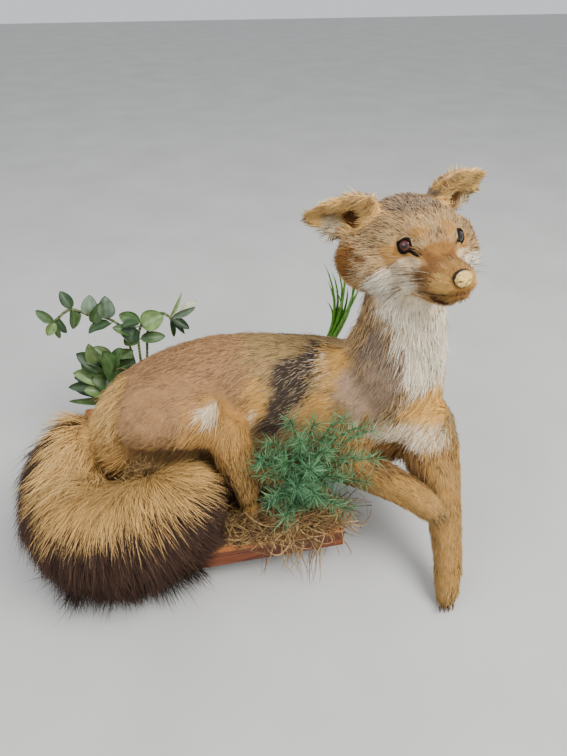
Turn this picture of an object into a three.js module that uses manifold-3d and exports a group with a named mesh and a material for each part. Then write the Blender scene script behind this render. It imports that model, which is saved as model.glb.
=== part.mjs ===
/**
 * Taxidermy mount of a small grey fox, life size, in millimetres with +Z up.
 *
 * The fox lies along the length of a stained board (+X), rump at the left end, neck upright at the
 * right end and face turned to the front (-Y). The left foreleg hangs over the end of the board, the
 * tail is wrapped round the haunch, and the board carries dried grass, a fern and eucalyptus sprays.
 * The origin is the middle of the underside of the plinth, which stands on the table.
 *
 * Every form of flesh is a loft: an oval section carried along a smooth curve through a few stations.
 * The outline of the solids is that of the tips of the coat.
 */
import * as THREE from 'three';
import { mergeVertices } from 'three/addons/utils/BufferGeometryUtils.js';
import Module from 'manifold-3d';

const wasm = await Module();
wasm.setup();

// ---- Driving dimensions ----------------------------------------------------------------------

const BOARD = { length: 270, depth: 236, thickness: 28, underside: 28, bevel: 3 };
const PLINTH = { length: 226, depth: 190 };
const GAP = 0.35; // clearance between pieces that touch
const BOARD_TOP = BOARD.underside + BOARD.thickness;
const BIG = 1000; // reach of the blocks that cut the flesh into its parts

// The head has its own frame: x to the nose, y to the fox's left, z to the crown, in degrees here.
const HEAD = { centre: [211.5, -1, 301], yaw: 2, pitch: 10, roll: 4 };
const EYE = { forward: 38.5, aside: 21, up: 9, radius: 7.2 };
const SOCKET = { forward: 49, aside: 27, up: 13, radius: 13 };
const NOSE = { forward: 92, up: -6, halfLength: 6, halfWidth: 8, halfHeight: 7.6 };
const MOUTH = { cornerForward: 30, lipLine: -25 };

// The neck leaves the trunk at a slanted plane through this point, tipped towards the chest.
const NECK_PLANE = { point: [170, 0, 196], normal: [0.5, 0, 0.87] };

// Stations of each form: centre x, y, z, then half width and half height of the section.
const TRUNK = [
  [-104, 22, 98, 42, 40],
  [-66, 15, 107, 57, 52],
  [-22, 13, 121, 62, 70],
  [24, 12, 127, 62, 80],
  [66, 11, 129, 61, 78],
  [125, 4, 130, 60, 71],
  [186, -20, 136, 60, 64],
  [244, -48, 158, 50, 60],
];
const NECK = [
  [196, -18, 112, 60, 58],
  [202, -22, 172, 56, 62],
  [208, -17, 222, 43, 52],
  [210, -6, 264, 37, 46],
  [207, 4, 298, 38, 38],
];
const TAIL = [
  [-82, 24, 106, 32, 30],
  [-114, 10, 99, 42, 39],
  [-132, -34, 90, 45, 45],
  [-116, -80, 80, 51, 55],
  [-74, -102, 78, 55, 60],
  [-28, -94, 88, 54, 59],
  [6, -88, 92, 44, 48],
  [28, -84, 88, 26, 32],
];
const TAIL_PARTINGS = [
  { point: [-126, -52, 90], normal: [0.2, -0.98, 0] },
  { point: [-50, -106, 84], normal: [1, -0.05, 0] },
];
const THIGH_RIGHT = [
  [-64, -8, 152, 42, 30],
  [-26, -30, 163, 42, 29],
  [34, -44, 162, 28, 26],
];
const SHANK_RIGHT = [
  [26, -42, 160, 24, 24],
  [34, -58, 134, 22, 21],
  [40, -71, 108, 19, 17],
  [45, -82, 76, 12, 12],
];
const FOOT_RIGHT = [
  [45, -78, 74, 11, 11],
  [47, -88, 67, 11, 9],
  [49, -98, 63, 9, 6],
];
const THIGH_LEFT = [
  [-66, 36, 104, 40, 38],
  [-26, 50, 118, 40, 40],
  [30, 62, 130, 25, 25],
];
const SHANK_LEFT = [
  [28, 62, 130, 22, 22],
  [40, 74, 106, 19, 18],
  [44, 84, 80, 14, 13],
  [48, 90, 66, 10, 10],
];
const FOOT_LEFT = [
  [46, 88, 66, 11, 9],
  [64, 96, 64, 12, 8],
  [78, 100, 63, 9, 6],
];
const FORELEG_LEFT = [
  [222, -44, 150, 34, 36],
  [226, -86, 126, 26, 27],
  [229, -132, 78, 18, 17],
  [227, -166, 32, 14, 14],
  [222, -182, 12, 13.5, 11],
  [219, -192, 10, 12, 8],
];
const UPPER_FORELEG_RIGHT = [
  [170, -46, 140, 38, 34],
  [150, -48, 102, 29, 27],
  [136, -40, 80, 22, 20],
];
const FORELEG_RIGHT = [
  [130, -38, 82, 22, 21],
  [162, -84, 96, 18, 18],
  [190, -126, 108, 15, 15],
  [203, -147, 109, 15, 12],
  [209, -158, 105, 11, 8],
];

// Forms of the head, in the head's own frame.
const CRANIUM = [
  [-48, 0, 4, 34, 31],
  [-30, 0, 2, 44, 37],
  [-8, 0, 0, 50, 38],
  [14, 0, -1, 48, 36],
  [32, 0, -2, 37, 30],
  [48, 0, -6, 26, 23],
  [62, 0, -9, 21, 17],
];
const MUZZLE = [
  [34, 0, -12, 29, 22],
  [54, 0, -13, 24, 19],
  [72, 0, -13, 20, 16.5],
  [86, 0, -13, 16.5, 14.5],
  [94, 0, -12, 13, 12],
];
const JAW = [
  [18, 0, -26, 24, 15],
  [46, 0, -29, 18, 11.5],
  [66, 0, -29, 14, 9.5],
  [82, 0, -27, 10, 7.5],
];
const CHEEK = [
  [36, 25, -12, 15, 18],
  [15, 39, -14, 20, 25],
  [-10, 46, -11, 23, 29],
  [-31, 45, -4, 25, 28],
];
// Ears, in the head's frame for the fox's left: root, tip and the direction of the ear's width.
const EARS = {
  right: { side: -1, root: [-8, 32, 29], tip: [-30, 86, 30], wide: [0.4, 0, 0.9] },
  left: { side: 1, root: [-10, 25, 34], tip: [-26, 79, 40], wide: [0.4, 0, 0.9] },
};
const EAR = { halfWidth: 25, thickness: 4, cup: -10 };

// Plants: a frond or leaf is a thin plate, and each plant's pieces grow from its own stems.
const PLATE_SIDES = 4;
const FERN = { root: [96, -84, 58], halfWidth: 10, thickness: 2, clearRadius: 14 };
const FERN_TIPS = [
  [157, -96, 166], [133, -90, 180], [108, -84, 172], [87, -80, 176], [66, -86, 158],
  [52, -99, 146], [126, -122, 138], [98, -120, 152], [62, -116, 118],
];
const BLADE = { root: [124, 102, 57], lean: [197, 95, 152], halfWidth: 3, thickness: 2 };
const BLADE_TIPS = [[162, 99, 238], [174, 98, 235], [194, 96, 215], [205, 95, 210]];
const MAT = [
  [22, -92, 62, 16, 5],
  [58, -90, 64, 26, 9],
  [104, -88, 65, 32, 10],
  [146, -94, 61, 18, 5],
];
const HANGING_STRAW = [
  [86, -104, 66, 26, 5],
  [88, -126, 56, 20, 5],
  [93, -142, 30, 9, 3],
  [98, -153, 8, 3, 2],
];
const STEM_RADIUS = 1.8;
const LEAF_THICKNESS = 1.6;
// Eucalyptus sprays: stems through centre points, and leaves from base to tip with a half width.
const SPRAYS = {
  eucalyptus_left: {
    stem: [[-62, 104, 57], [-62, 104, 140], [-68, 105, 178], [-82, 102, 193], [-97, 100, 199],
      [-113, 98, 209], [-133, 96, 197]],
    leaves: [
      [-133, 96, 197, -149, 100, 210, 4.5], [-132, 96, 196, -133, 98, 173, 2.2],
      [-112, 98, 210, -120, 104, 228, 5], [-112, 98, 210, -113, 90, 189, 6.6],
      [-95, 100, 196, -93, 106, 219, 7.2], [-80, 100, 192, -77, 104, 217, 7.3],
      [-95, 98, 190, -81, 98, 213, 5.5], [-76, 98, 187, -100, 88, 186, 8.2],
    ],
  },
  eucalyptus_middle: {
    stem: [[-56, 103, 57], [-53, 100, 140], [-50, 100, 168], [-44, 102, 182]],
    leaves: [
      [-46, 103, 182, -68, 108, 191, 6.4], [-47, 98, 184, -64, 92, 186, 7.7],
      [-53, 97, 180, -59, 88, 165, 9.5], [-54, 99, 171, -75, 96, 183, 5.3],
      [-45, 100, 178, -20, 104, 188, 9.6], [-49, 100, 162, -21, 102, 161, 5.4],
    ],
  },
  eucalyptus_right: {
    stem: [[-52, 105, 57], [-45, 108, 140], [-36, 109, 176], [-22, 108, 188], [-11, 98, 186]],
    leaves: [
      [-11, 98, 186, 18, 102, 203, 4.1], [-9, 96, 189, 16, 92, 199, 3.5],
      [-11, 98, 186, 7, 90, 175, 4.1], [-12, 98, 185, -11, 96, 161, 1.7],
    ],
  },
  eucalyptus_low: {
    stem: [[-70, 98, 57], [-80, 95, 96], [-84, 94, 122], [-94, 93, 136]],
    leaves: [
      [-96, 92, 135, -104, 88, 168, 7.6], [-86, 96, 139, -100, 98, 159, 6.6],
      [-82, 92, 112, -87, 84, 159, 11], [-84, 97, 135, -60, 100, 147, 8.8],
      [-82, 92, 124, -59, 90, 140, 8.8], [-92, 91, 128, -128, 86, 127, 8],
      [-84, 90, 110, -107, 80, 129, 9.6], [-82, 92, 98, -130, 86, 109, 6.7],
      [-80, 92, 92, -141, 82, 94, 4.9],
    ],
  },
};

// ---- Tools for closed solids -----------------------------------------------------------------

/** Closed solid from vertex positions and triangle indices, with its faces turned outwards. */
function solidFrom(positions, indices) {
  const geometry = new THREE.BufferGeometry();
  geometry.setAttribute('position', new THREE.Float32BufferAttribute(positions, 3));
  geometry.setIndex(indices);
  return solidOf(geometry);
}

/** Closed solid of a three.js geometry, turned inside out if its volume comes out negative. */
function solidOf(geometry) {
  geometry.deleteAttribute('normal');
  geometry.deleteAttribute('uv');
  const merged = mergeVertices(geometry, 1e-4);
  const vertProperties = Float32Array.from(merged.attributes.position.array);
  const triVerts = Uint32Array.from(merged.index.array);
  if (signedVolume(vertProperties, triVerts) < 0) triVerts.reverse();
  return new wasm.Manifold(new wasm.Mesh({ numProp: 3, vertProperties, triVerts }));
}

/** Volume inside a triangle mesh, positive where its faces point out. */
function signedVolume(points, triangles) {
  const corner = [new THREE.Vector3(), new THREE.Vector3(), new THREE.Vector3()];
  let sum = 0;
  for (let start = 0; start < triangles.length; start += 3) {
    corner.forEach((vector, index) => vector.fromArray(points, 3 * triangles[start + index]));
    sum += corner[0].dot(corner[1].cross(corner[2]));
  }
  return sum / 6;
}

/** Smooth curve of whole stations: a function of the distance along their centres. */
function curveThrough(rows) {
  const along = [0];
  for (let index = 1; index < rows.length; index += 1) {
    const step = Math.hypot(...[0, 1, 2].map((axis) => rows[index][axis] - rows[index - 1][axis]));
    along.push(along[index - 1] + step);
  }
  const spline = new THREE.CubicInterpolant(along, rows.flat(), rows[0].length);
  return { length: along.at(-1), at: (distance) => Array.from(spline.evaluate(distance)) };
}

/**
 * Loft: an oval section carried along the stations, closed by rounded ends. Each end is drawn in
 * along a quarter ellipse over its cap length. `wide` is the direction of the half width, and `cup`
 * bends the section's middle along its height, as in an ear.
 */
function loft(rows, { rings, sides, caps, wide = null, up = [0, 0, 1], cup = 0, grow = 0 }) {
  const curve = curveThrough(rows);
  const centre = new THREE.Vector3();
  const ahead = new THREE.Vector3();
  const along = new THREE.Vector3();
  const across = new THREE.Vector3();
  const normal = new THREE.Vector3();
  const point = new THREE.Vector3();
  const positions = [];
  for (let ring = 0; ring <= rings; ring += 1) {
    const share = ring / rings;
    const eased = 0.6 * share + 0.4 * (0.5 - 0.5 * Math.cos(Math.PI * share));
    const distance = eased * curve.length;
    const [x, y, z, halfWidth, halfHeight] = curve.at(distance);
    const near = curve.at(Math.max(distance - 1, 0));
    const far = curve.at(Math.min(distance + 1, curve.length));
    centre.set(x, y, z);
    along.fromArray(far).sub(ahead.fromArray(near)).normalize();
    if (wide) across.fromArray(wide).addScaledVector(along, -along.dot(ahead.fromArray(wide)));
    else across.crossVectors(along, ahead.fromArray(up));
    across.normalize();
    normal.crossVectors(across, along);
    const draw = roundEnd(distance, caps[0]) * roundEnd(curve.length - distance, caps[1]);
    const pole = ring === 0 || ring === rings;
    for (let side = 0; side < (pole ? 1 : sides); side += 1) {
      const turn = (2 * Math.PI * side) / sides;
      const aside = pole ? 0 : Math.cos(turn) * (halfWidth * draw + grow);
      const raised = pole ? 0 : Math.sin(turn) * (halfHeight * draw + grow);
      const bend = cup * draw * Math.cos(turn) ** 2;
      point.copy(centre).addScaledVector(across, aside).addScaledVector(normal, raised + bend);
      positions.push(...point);
    }
  }
  return solidFrom(positions, tubeTriangles(rings, sides));
}

/** How far a rounded end is open at a distance from it: nought at the end, one past its cap. */
function roundEnd(distance, cap) {
  const inside = Math.max(0, 1 - distance / cap);
  return Math.sqrt(1 - inside * inside);
}

/** Triangles of a tube of rings between two poles. */
function tubeTriangles(rings, sides) {
  const last = 1 + (rings - 1) * sides;
  const indices = [];
  for (let side = 0; side < sides; side += 1) {
    const next = (side + 1) % sides;
    indices.push(0, 1 + side, 1 + next);
    for (let ring = 0; ring < rings - 2; ring += 1) {
      const here = 1 + ring * sides;
      const there = here + sides;
      indices.push(here + side, there + side, there + next);
      indices.push(here + side, there + next, here + next);
    }
    indices.push(last, last - sides + next, last - sides + side);
  }
  return indices;
}

/** Block that fills one side of a plane: everything ahead of `point` along `normal`. */
function blockAhead(point, normal, shift = 0) {
  const direction = new THREE.Vector3(...normal).normalize();
  const middle = new THREE.Vector3(...point).addScaledVector(direction, shift + BIG / 2);
  const turn = new THREE.Quaternion().setFromUnitVectors(new THREE.Vector3(0, 0, 1), direction);
  const block = new THREE.BoxGeometry(BIG, BIG, BIG);
  return solidOf(block.applyQuaternion(turn).translate(...middle));
}

/** Upright block between two opposite corners. */
function blockBetween(low, high) {
  const size = high.map((value, axis) => value - low[axis]);
  const middle = high.map((value, axis) => (value + low[axis]) / 2);
  return solidOf(new THREE.BoxGeometry(...size).translate(...middle));
}

/** Ball with three half axes. */
function ball(halfAxes, sides) {
  const sphere = new THREE.SphereGeometry(1, sides, Math.round(sides * 0.6));
  return sphere.scale(...halfAxes);
}

/** The largest body of a solid, so that no sliver of a cut is left beside it. */
function largest(solid) {
  const bodies = solid.decompose();
  return bodies.reduce((best, body) => (body.volume() > best.volume() ? body : best));
}

/** Matrix from the head's own frame to the model's frame. */
function headMatrix() {
  const [yaw, pitch, roll] = [HEAD.yaw, HEAD.pitch, HEAD.roll].map(THREE.MathUtils.degToRad);
  const flat = Math.cos(pitch);
  const forward = new THREE.Vector3(Math.sin(yaw) * flat, -Math.cos(yaw) * flat, Math.sin(pitch));
  const levelLeft = new THREE.Vector3(0, 0, 1).cross(forward).normalize();
  const levelUp = forward.clone().cross(levelLeft);
  const left = levelLeft.clone().multiplyScalar(Math.cos(roll)).addScaledVector(levelUp, Math.sin(roll));
  const up = forward.clone().cross(left);
  return new THREE.Matrix4().makeBasis(forward, left, up).setPosition(...HEAD.centre);
}

/** Places a solid of the head's frame in the model's frame. */
function onHead(solid) {
  return solid.transform(headMatrix().elements);
}

/** Mirror image of stations across the middle plane of the head. */
function mirrored(rows, side) {
  return rows.map(([x, y, ...rest]) => [x, side * y, ...rest]);
}

// ---- Mount -----------------------------------------------------------------------------------

/** Board with a small bevel round its upper and lower edges. */
function board() {
  const { length, depth, thickness, bevel } = BOARD;
  const outline = new THREE.Shape();
  outline.moveTo(bevel - length / 2, bevel - depth / 2);
  outline.lineTo(length / 2 - bevel, bevel - depth / 2);
  outline.lineTo(length / 2 - bevel, depth / 2 - bevel);
  outline.lineTo(bevel - length / 2, depth / 2 - bevel);
  outline.closePath();
  const bevels = { bevelEnabled: true, bevelThickness: bevel, bevelSize: bevel, bevelSegments: 1 };
  const plank = new THREE.ExtrudeGeometry(outline, { depth: thickness - 2 * bevel, ...bevels });
  return solidOf(plank.translate(0, 0, BOARD.underside + bevel));
}

/** Space of the board and all that is under it, which every form that lies on it is cut by. */
function boardSpace() {
  const { length, depth } = BOARD;
  const low = [-length / 2 - GAP, -depth / 2 - GAP, -BOARD.underside];
  return blockBetween(low, [length / 2 + GAP, depth / 2 + GAP, BOARD_TOP + GAP]);
}

/** Recessed plinth under the board. */
function plinth() {
  const { length, depth } = PLINTH;
  const high = [length / 2, depth / 2, BOARD.underside - GAP];
  return blockBetween([-length / 2, -depth / 2, 0], high);
}

// ---- Fox -------------------------------------------------------------------------------------

const trunkLoft = (grow) => loft(TRUNK, { rings: 15, sides: 16, caps: [42, 36], grow });
const neckLoft = (grow) => loft(NECK, { rings: 10, sides: 18, caps: [36, 30], up: [0, -1, 0.2], grow });
const tailLoft = (grow) => loft(TAIL, { rings: 18, sides: 14, caps: [20, 30], grow });

/** Two forms of one limb joined, such as a shank and its foot. */
function joined(...parts) {
  return parts.reduce((whole, form) => whole.add(form));
}

const limb = (rows, rings, sides, caps, grow, up) => loft(rows, { rings, sides, caps, grow, up });
const thighRight = (grow) => limb(THIGH_RIGHT, 8, 12, [32, 22], grow);
const thighLeft = (grow) => limb(THIGH_LEFT, 8, 12, [32, 22], grow);
const shankRight = (grow) => joined(
  limb(SHANK_RIGHT, 7, 9, [16, 8], grow, [1, 0, 0]),
  limb(FOOT_RIGHT, 5, 9, [8, 9], grow),
);
const shankLeft = (grow) => joined(
  limb(SHANK_LEFT, 7, 9, [16, 8], grow, [1, 0, 0]),
  limb(FOOT_LEFT, 5, 9, [8, 9], grow),
);
const forelegLeft = (grow) => limb(FORELEG_LEFT, 12, 10, [26, 9], grow, [1, 0, 0]);
const upperForelegRight = (grow) => limb(UPPER_FORELEG_RIGHT, 7, 10, [26, 14], grow, [1, 0, 0]);
const forelegRight = (grow) => limb(FORELEG_RIGHT, 10, 10, [14, 9], grow);

/** Head without ears, eyes and nose: cranium, muzzle, jaw and both cheeks in one form. */
function headForm(grow) {
  const forms = [
    loft(CRANIUM, { rings: 12, sides: 16, caps: [28, 16], grow }),
    loft(MUZZLE, { rings: 7, sides: 12, caps: [12, 8], grow }),
    loft(JAW, { rings: 6, sides: 10, caps: [16, 8], grow }),
  ];
  for (const side of [-1, 1]) {
    forms.push(loft(mirrored(CHEEK, side), { rings: 7, sides: 10, caps: [16, 22], grow }));
  }
  return onHead(joined(...forms));
}

/** Front of the jaw, below the lip line and ahead of the corners of the mouth. */
function jawSpace(grow) {
  const low = [MOUTH.cornerForward - grow, -BIG / 10, -BIG / 10];
  return onHead(blockBetween(low, [BIG / 10, BIG / 10, MOUTH.lipLine + grow]));
}

/** Glass eye of one side, grown for the socket that holds it. */
function eye(side, grow) {
  const radius = EYE.radius + grow;
  const globe = ball([radius, radius, radius], 10);
  return onHead(solidOf(globe.translate(EYE.forward, side * EYE.aside, EYE.up)));
}

/** Hollow between the brow and the cheek that lays the front of the eye open. */
function socket(side) {
  const hollow = ball([SOCKET.radius, SOCKET.radius, SOCKET.radius], 10);
  return onHead(solidOf(hollow.translate(SOCKET.forward, side * SOCKET.aside, SOCKET.up)));
}

/** Nose pad, an oval button at the front of the muzzle. */
function nosePad(grow) {
  const pad = ball([NOSE.halfLength + grow, NOSE.halfWidth + grow, NOSE.halfHeight + grow], 10);
  return onHead(solidOf(pad.translate(NOSE.forward, 0, NOSE.up)));
}

/** Splayed, cupped ear of one side, from its root in the cheek to its tip. */
function ear({ side, root, tip, wide }) {
  const between = (share) => root.map((value, axis) => value + share * (tip[axis] - value));
  const rows = [
    [...between(-0.1), EAR.halfWidth * 0.9, EAR.thickness],
    [...between(0.3), EAR.halfWidth, EAR.thickness],
    [...between(0.65), EAR.halfWidth * 0.72, EAR.thickness * 0.8],
    [...between(1), EAR.halfWidth * 0.22, EAR.thickness * 0.5],
  ];
  const cup = side * EAR.cup;
  const options = { rings: 8, sides: 12, caps: [8, 7], wide: [wide[0], side * wide[1], wide[2]], cup };
  return onHead(loft(mirrored(rows, side), options));
}

/** Everything that is flesh, cut into its named parts with thin gaps between them. */
function foxSolids() {
  const clear = boardSpace();
  const head = headForm(0);
  const headSpace = headForm(GAP);
  const jaw = head.intersect(jawSpace(0));
  let face = head.subtract(jawSpace(GAP)).subtract(nosePad(GAP));
  for (const side of [-1, 1]) face = face.subtract(socket(side)).subtract(eye(side, GAP));

  const ahead = blockAhead(NECK_PLANE.point, NECK_PLANE.normal);
  const aheadSpace = blockAhead(NECK_PLANE.point, NECK_PLANE.normal, -GAP);
  const body = trunkLoft(0).add(neckLoft(0));
  const neck = body.intersect(ahead).subtract(headSpace);

  const limbs = {
    thigh_right: thighRight, hind_foot_right: shankRight, thigh_left: thighLeft,
    hind_foot_left: shankLeft, foreleg_left: forelegLeft, foreleg_right: forelegRight,
    upper_foreleg_right: upperForelegRight,
  };
  const inner = blockAhead([0, -36, 0], [0, -1, 0]);
  const innerSpace = blockAhead([0, -36, 0], [0, -1, 0], -GAP);
  const outer = blockAhead([0, 44, 0], [0, 1, 0]);
  const outerSpace = blockAhead([0, 44, 0], [0, 1, 0], -GAP);
  let trunk = body.subtract(aheadSpace).subtract(clear);
  let tail = tailLoft(0).subtract(clear);
  const solids = {};
  for (const [name, form] of Object.entries(limbs)) {
    const far = name.endsWith('left') && !name.startsWith('foreleg');
    let own = form(0).intersect(far ? outer : inner).subtract(clear).subtract(aheadSpace);
    for (const earlier of Object.keys(solids)) own = own.subtract(limbs[earlier](GAP));
    solids[name] = own;
    const space = form(GAP).intersect(far ? outerSpace : innerSpace);
    trunk = trunk.subtract(space);
    tail = tail.subtract(form(GAP));
  }
  tail = tail.subtract(trunkLoft(GAP));
  return { face, jaw, neck, trunk, tail, ...solids };
}

// ---- Plants ----------------------------------------------------------------------------------

/** Thin plate that bends along its stations, with its half width along `wide`. */
function plate(rows, wide, rings) {
  return loft(rows, { rings, sides: PLATE_SIDES, caps: [2, 7], wide });
}

/** Point a share of the way from one point to another, with its own share of the rise. */
function between(from, to, share, rise = share) {
  return [0, 1].map((axis) => from[axis] + share * (to[axis] - from[axis]))
    .concat(from[2] + rise * (to[2] - from[2]));
}

/** Fern: fronds that rise steeply from one root and bend outwards to their tips. */
function fern() {
  const root = [FERN.root[0], FERN.root[1], FERN.root[2] + 4];
  const halfThickness = FERN.thickness / 2;
  let plant = solidOf(ball([9, 9, 8], 6).translate(root[0], root[1], root[2] + 3));
  for (const tip of FERN_TIPS) {
    const rows = [
      [...between(root, tip, 0.08, 0.06), 2, halfThickness],
      [...between(root, tip, 0.25, 0.4), FERN.halfWidth, halfThickness],
      [...between(root, tip, 0.62, 0.76), FERN.halfWidth, halfThickness],
      [...tip, 3, halfThickness],
    ];
    plant = plant.add(plate(rows, [root[1] - tip[1] + 0.01, tip[0] - root[0], 0], 5));
  }
  return plant;
}

/** Space round the fern's root, which the dried grass leaves free. */
function fernRootSpace() {
  const [x, y, z] = FERN.root;
  const column = new THREE.CylinderGeometry(FERN.clearRadius, FERN.clearRadius, BOARD.depth, 8);
  return solidOf(column.rotateX(Math.PI / 2).translate(x, y, z));
}

/** Tuft of green blades: one stalk that leans out from behind the shoulder, and a blade to each tip. */
function grassBlades() {
  const halfThickness = BLADE.thickness / 2;
  const wide = [0.6, 0.8, 0];
  const stalk = [[...BLADE.root, 4, halfThickness], [...BLADE.lean, BLADE.halfWidth, halfThickness]];
  let tuft = loft(stalk, { rings: 4, sides: PLATE_SIDES, caps: [2, 7], wide });
  for (const tip of BLADE_TIPS) {
    const rows = [
      [...between(BLADE.root, BLADE.lean, 0.9), 2, 0.8],
      [...between(BLADE.lean, tip, 0.5), BLADE.halfWidth, 0.7],
      [...tip, 1, 0.6],
    ];
    tuft = tuft.add(plate(rows, wide, 4));
  }
  return tuft;
}

/** Mat of dried grass at the board's front edge, with the straw that hangs from it. */
function driedGrass() {
  const mat = loft(MAT, { rings: 7, sides: 8, caps: [14, 14] });
  const straw = loft(HANGING_STRAW, { rings: 6, sides: 6, caps: [6, 6], wide: [1, 0, 0] });
  return mat.add(straw).subtract(boardSpace()).subtract(shankRight(GAP));
}

/** Spray of eucalyptus: a round stem, and a flat leaf from each base, tied to the stem by a stalk. */
function spray({ stem, leaves }) {
  const rows = stem.map((point) => [...point, STEM_RADIUS, STEM_RADIUS]);
  let whole = loft(rows, { rings: 2 * stem.length, sides: 4, caps: [1, 3], wide: [0, 1, 0] });
  const curve = curveThrough(rows);
  for (const [baseX, baseY, baseZ, tipX, tipY, tipZ, halfWidth] of leaves) {
    const base = new THREE.Vector3(baseX, baseY, baseZ);
    const tip = new THREE.Vector3(tipX, tipY, tipZ);
    const root = nearestOn(curve, base);
    const middle = base.clone().lerp(tip, 0.5);
    const half = LEAF_THICKNESS / 2;
    const leaf = [
      [...root, 0.9, 0.8], [...base.lerp(tip, 0.12), halfWidth * 0.55, half],
      [...middle, halfWidth, half], [...tip, halfWidth * 0.3, half],
    ];
    const wide = new THREE.Vector3(tipZ - baseZ, 0.01, baseX - tipX).normalize();
    whole = whole.add(plate(leaf, [...wide], 4));
  }
  return whole;
}

/** Point of a curve of stations that lies nearest to a point. */
function nearestOn(curve, target) {
  const steps = 60;
  let best = null;
  for (let step = 0; step < steps; step += 1) {
    const candidate = new THREE.Vector3(...curve.at((curve.length * step) / steps).slice(0, 3));
    if (!best || candidate.distanceTo(target) < best.distanceTo(target)) best = candidate;
  }
  return best;
}

// ---- Model -----------------------------------------------------------------------------------

const model = new THREE.Group();

/** Adds one named solid to the model with its own colour and roughness. */
function add(name, solid, colour, roughness) {
  const { vertProperties, triVerts } = largest(solid).getMesh();
  const geometry = new THREE.BufferGeometry();
  geometry.setAttribute('position', new THREE.Float32BufferAttribute(vertProperties, 3));
  geometry.setIndex(new THREE.Uint32BufferAttribute(triVerts, 1));
  geometry.computeVertexNormals();
  const mesh = new THREE.Mesh(geometry, new THREE.MeshStandardMaterial({ color: colour, roughness }));
  mesh.name = name;
  model.add(mesh);
}

add('board', board(), 0x7a4a2a, 0.7);
add('plinth', plinth(), 0x3c2a1c, 0.8);
const fox = foxSolids();
add('trunk', fox.trunk, 0x9c8468, 0.95);
add('neck', fox.neck, 0xcbb894, 0.95);
add('head', fox.face, 0xa58a63, 0.95);
add('lower_jaw', fox.jaw, 0xd8ccb4, 0.95);
add('nose_pad', nosePad(0), 0xd6c494, 0.6);
for (const [name, side] of [['eye_right', -1], ['eye_left', 1]]) add(name, eye(side, 0), 0x5a2a18, 0.1);
for (const [name, shape] of Object.entries(EARS)) {
  add(`ear_${name}`, ear(shape).subtract(headForm(GAP)), 0xb8864a, 0.9);
}
const partings = TAIL_PARTINGS.map(({ point, normal }) => [
  blockAhead(point, normal), blockAhead(point, normal, -GAP),
]);
add('tail_middle', fox.tail.intersect(partings[0][0]).subtract(partings[1][1]), 0xb89058, 0.95);
add('tail_tip', fox.tail.intersect(partings[1][0]).intersect(partings[0][0]), 0x5c4630, 0.95);
add('tail_base', fox.tail.subtract(partings[0][1]), 0xb89058, 0.95);
for (const name of ['thigh_right', 'hind_foot_right', 'thigh_left', 'hind_foot_left',
  'foreleg_left', 'foreleg_right', 'upper_foreleg_right']) {
  add(name, fox[name], 0xb8894c, 0.95);
}
const fernPlant = fern();
add('dried_grass', driedGrass().subtract(fernRootSpace()), 0x8f7546, 0.95);
add('fern', fernPlant, 0x45875f, 0.6);
add('grass_blades', grassBlades(), 0x4f8a2c, 0.6);
for (const [name, parts] of Object.entries(SPRAYS)) add(name, spray(parts), 0x4f6b35, 0.6);

export default model;
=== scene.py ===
"""Looks of the mounted grey fox: one skin over all its flesh, a coat of modelled tufts, glass eyes,
the filler nose, and the stained board with its dried grass, fern, blades and eucalyptus.

Lengths in the tables are millimetres in the frame of the model: +X along the board to the neck, +Y to
the back, +Z up, with the origin on the table under the middle of the board. Meshes are made in metres.
The head has its own frame: x to the nose, y to the fox's left, z to the crown.
"""

from collections import namedtuple

import bmesh
import bpy
import numpy as np
from mathutils import Matrix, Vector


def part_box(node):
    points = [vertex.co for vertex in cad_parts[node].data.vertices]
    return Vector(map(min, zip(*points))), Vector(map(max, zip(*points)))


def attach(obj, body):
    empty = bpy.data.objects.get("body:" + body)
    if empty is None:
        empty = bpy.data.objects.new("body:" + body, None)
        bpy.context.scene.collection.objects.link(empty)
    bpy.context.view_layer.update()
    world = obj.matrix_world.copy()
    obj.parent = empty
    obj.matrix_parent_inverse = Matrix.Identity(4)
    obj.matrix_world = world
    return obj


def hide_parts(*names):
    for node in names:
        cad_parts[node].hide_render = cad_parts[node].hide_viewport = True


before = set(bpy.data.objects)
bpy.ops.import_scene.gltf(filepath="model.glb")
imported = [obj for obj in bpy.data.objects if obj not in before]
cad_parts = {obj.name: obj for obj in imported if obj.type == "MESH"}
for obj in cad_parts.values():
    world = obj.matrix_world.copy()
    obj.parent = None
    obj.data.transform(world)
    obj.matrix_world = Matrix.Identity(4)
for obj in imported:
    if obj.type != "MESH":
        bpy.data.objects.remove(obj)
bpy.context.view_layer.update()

MM = 0.001
BOARD_LOW, BOARD_HIGH = (np.array(corner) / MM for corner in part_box("board"))
BOARD_TOP = BOARD_HIGH[2]

# ---- Camera, floor and light -----------------------------------------------------------------

CAMERA = {"place": (15, -418, 500), "down": 38.5, "right": 11, "lens": 25.24, "sensor": 36, "nearest": 0.01}
FLOOR_REACH = 6.0


def added(name, data):
    """New object of some data, in the scene."""
    thing = bpy.data.objects.new(name, data)
    bpy.context.scene.collection.objects.link(thing)
    return thing


def stood(thing, place, right, up, back):
    """Puts a camera or lamp at a place in metres, with its own axes along the given ones."""
    turned = np.eye(4)
    turned[:3] = np.column_stack([right, up, back, place])
    thing.matrix_world = Matrix(turned)


def camera():
    """Camera that looks down and a little to the right, with its picture level."""
    down, right = np.radians([CAMERA["down"], CAMERA["right"]])
    ahead = np.array([np.sin(right) * np.cos(down), np.cos(right) * np.cos(down), -np.sin(down)])
    aside = np.array([np.cos(right), -np.sin(right), 0])
    data = bpy.data.cameras.new("camera")
    data.lens, data.sensor_width, data.clip_start = CAMERA["lens"], CAMERA["sensor"], CAMERA["nearest"]
    eye = added("camera", data)
    stood(eye, np.array(CAMERA["place"]) * MM, aside, np.cross(aside, ahead), -ahead)
    bpy.context.scene.camera = eye


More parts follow.
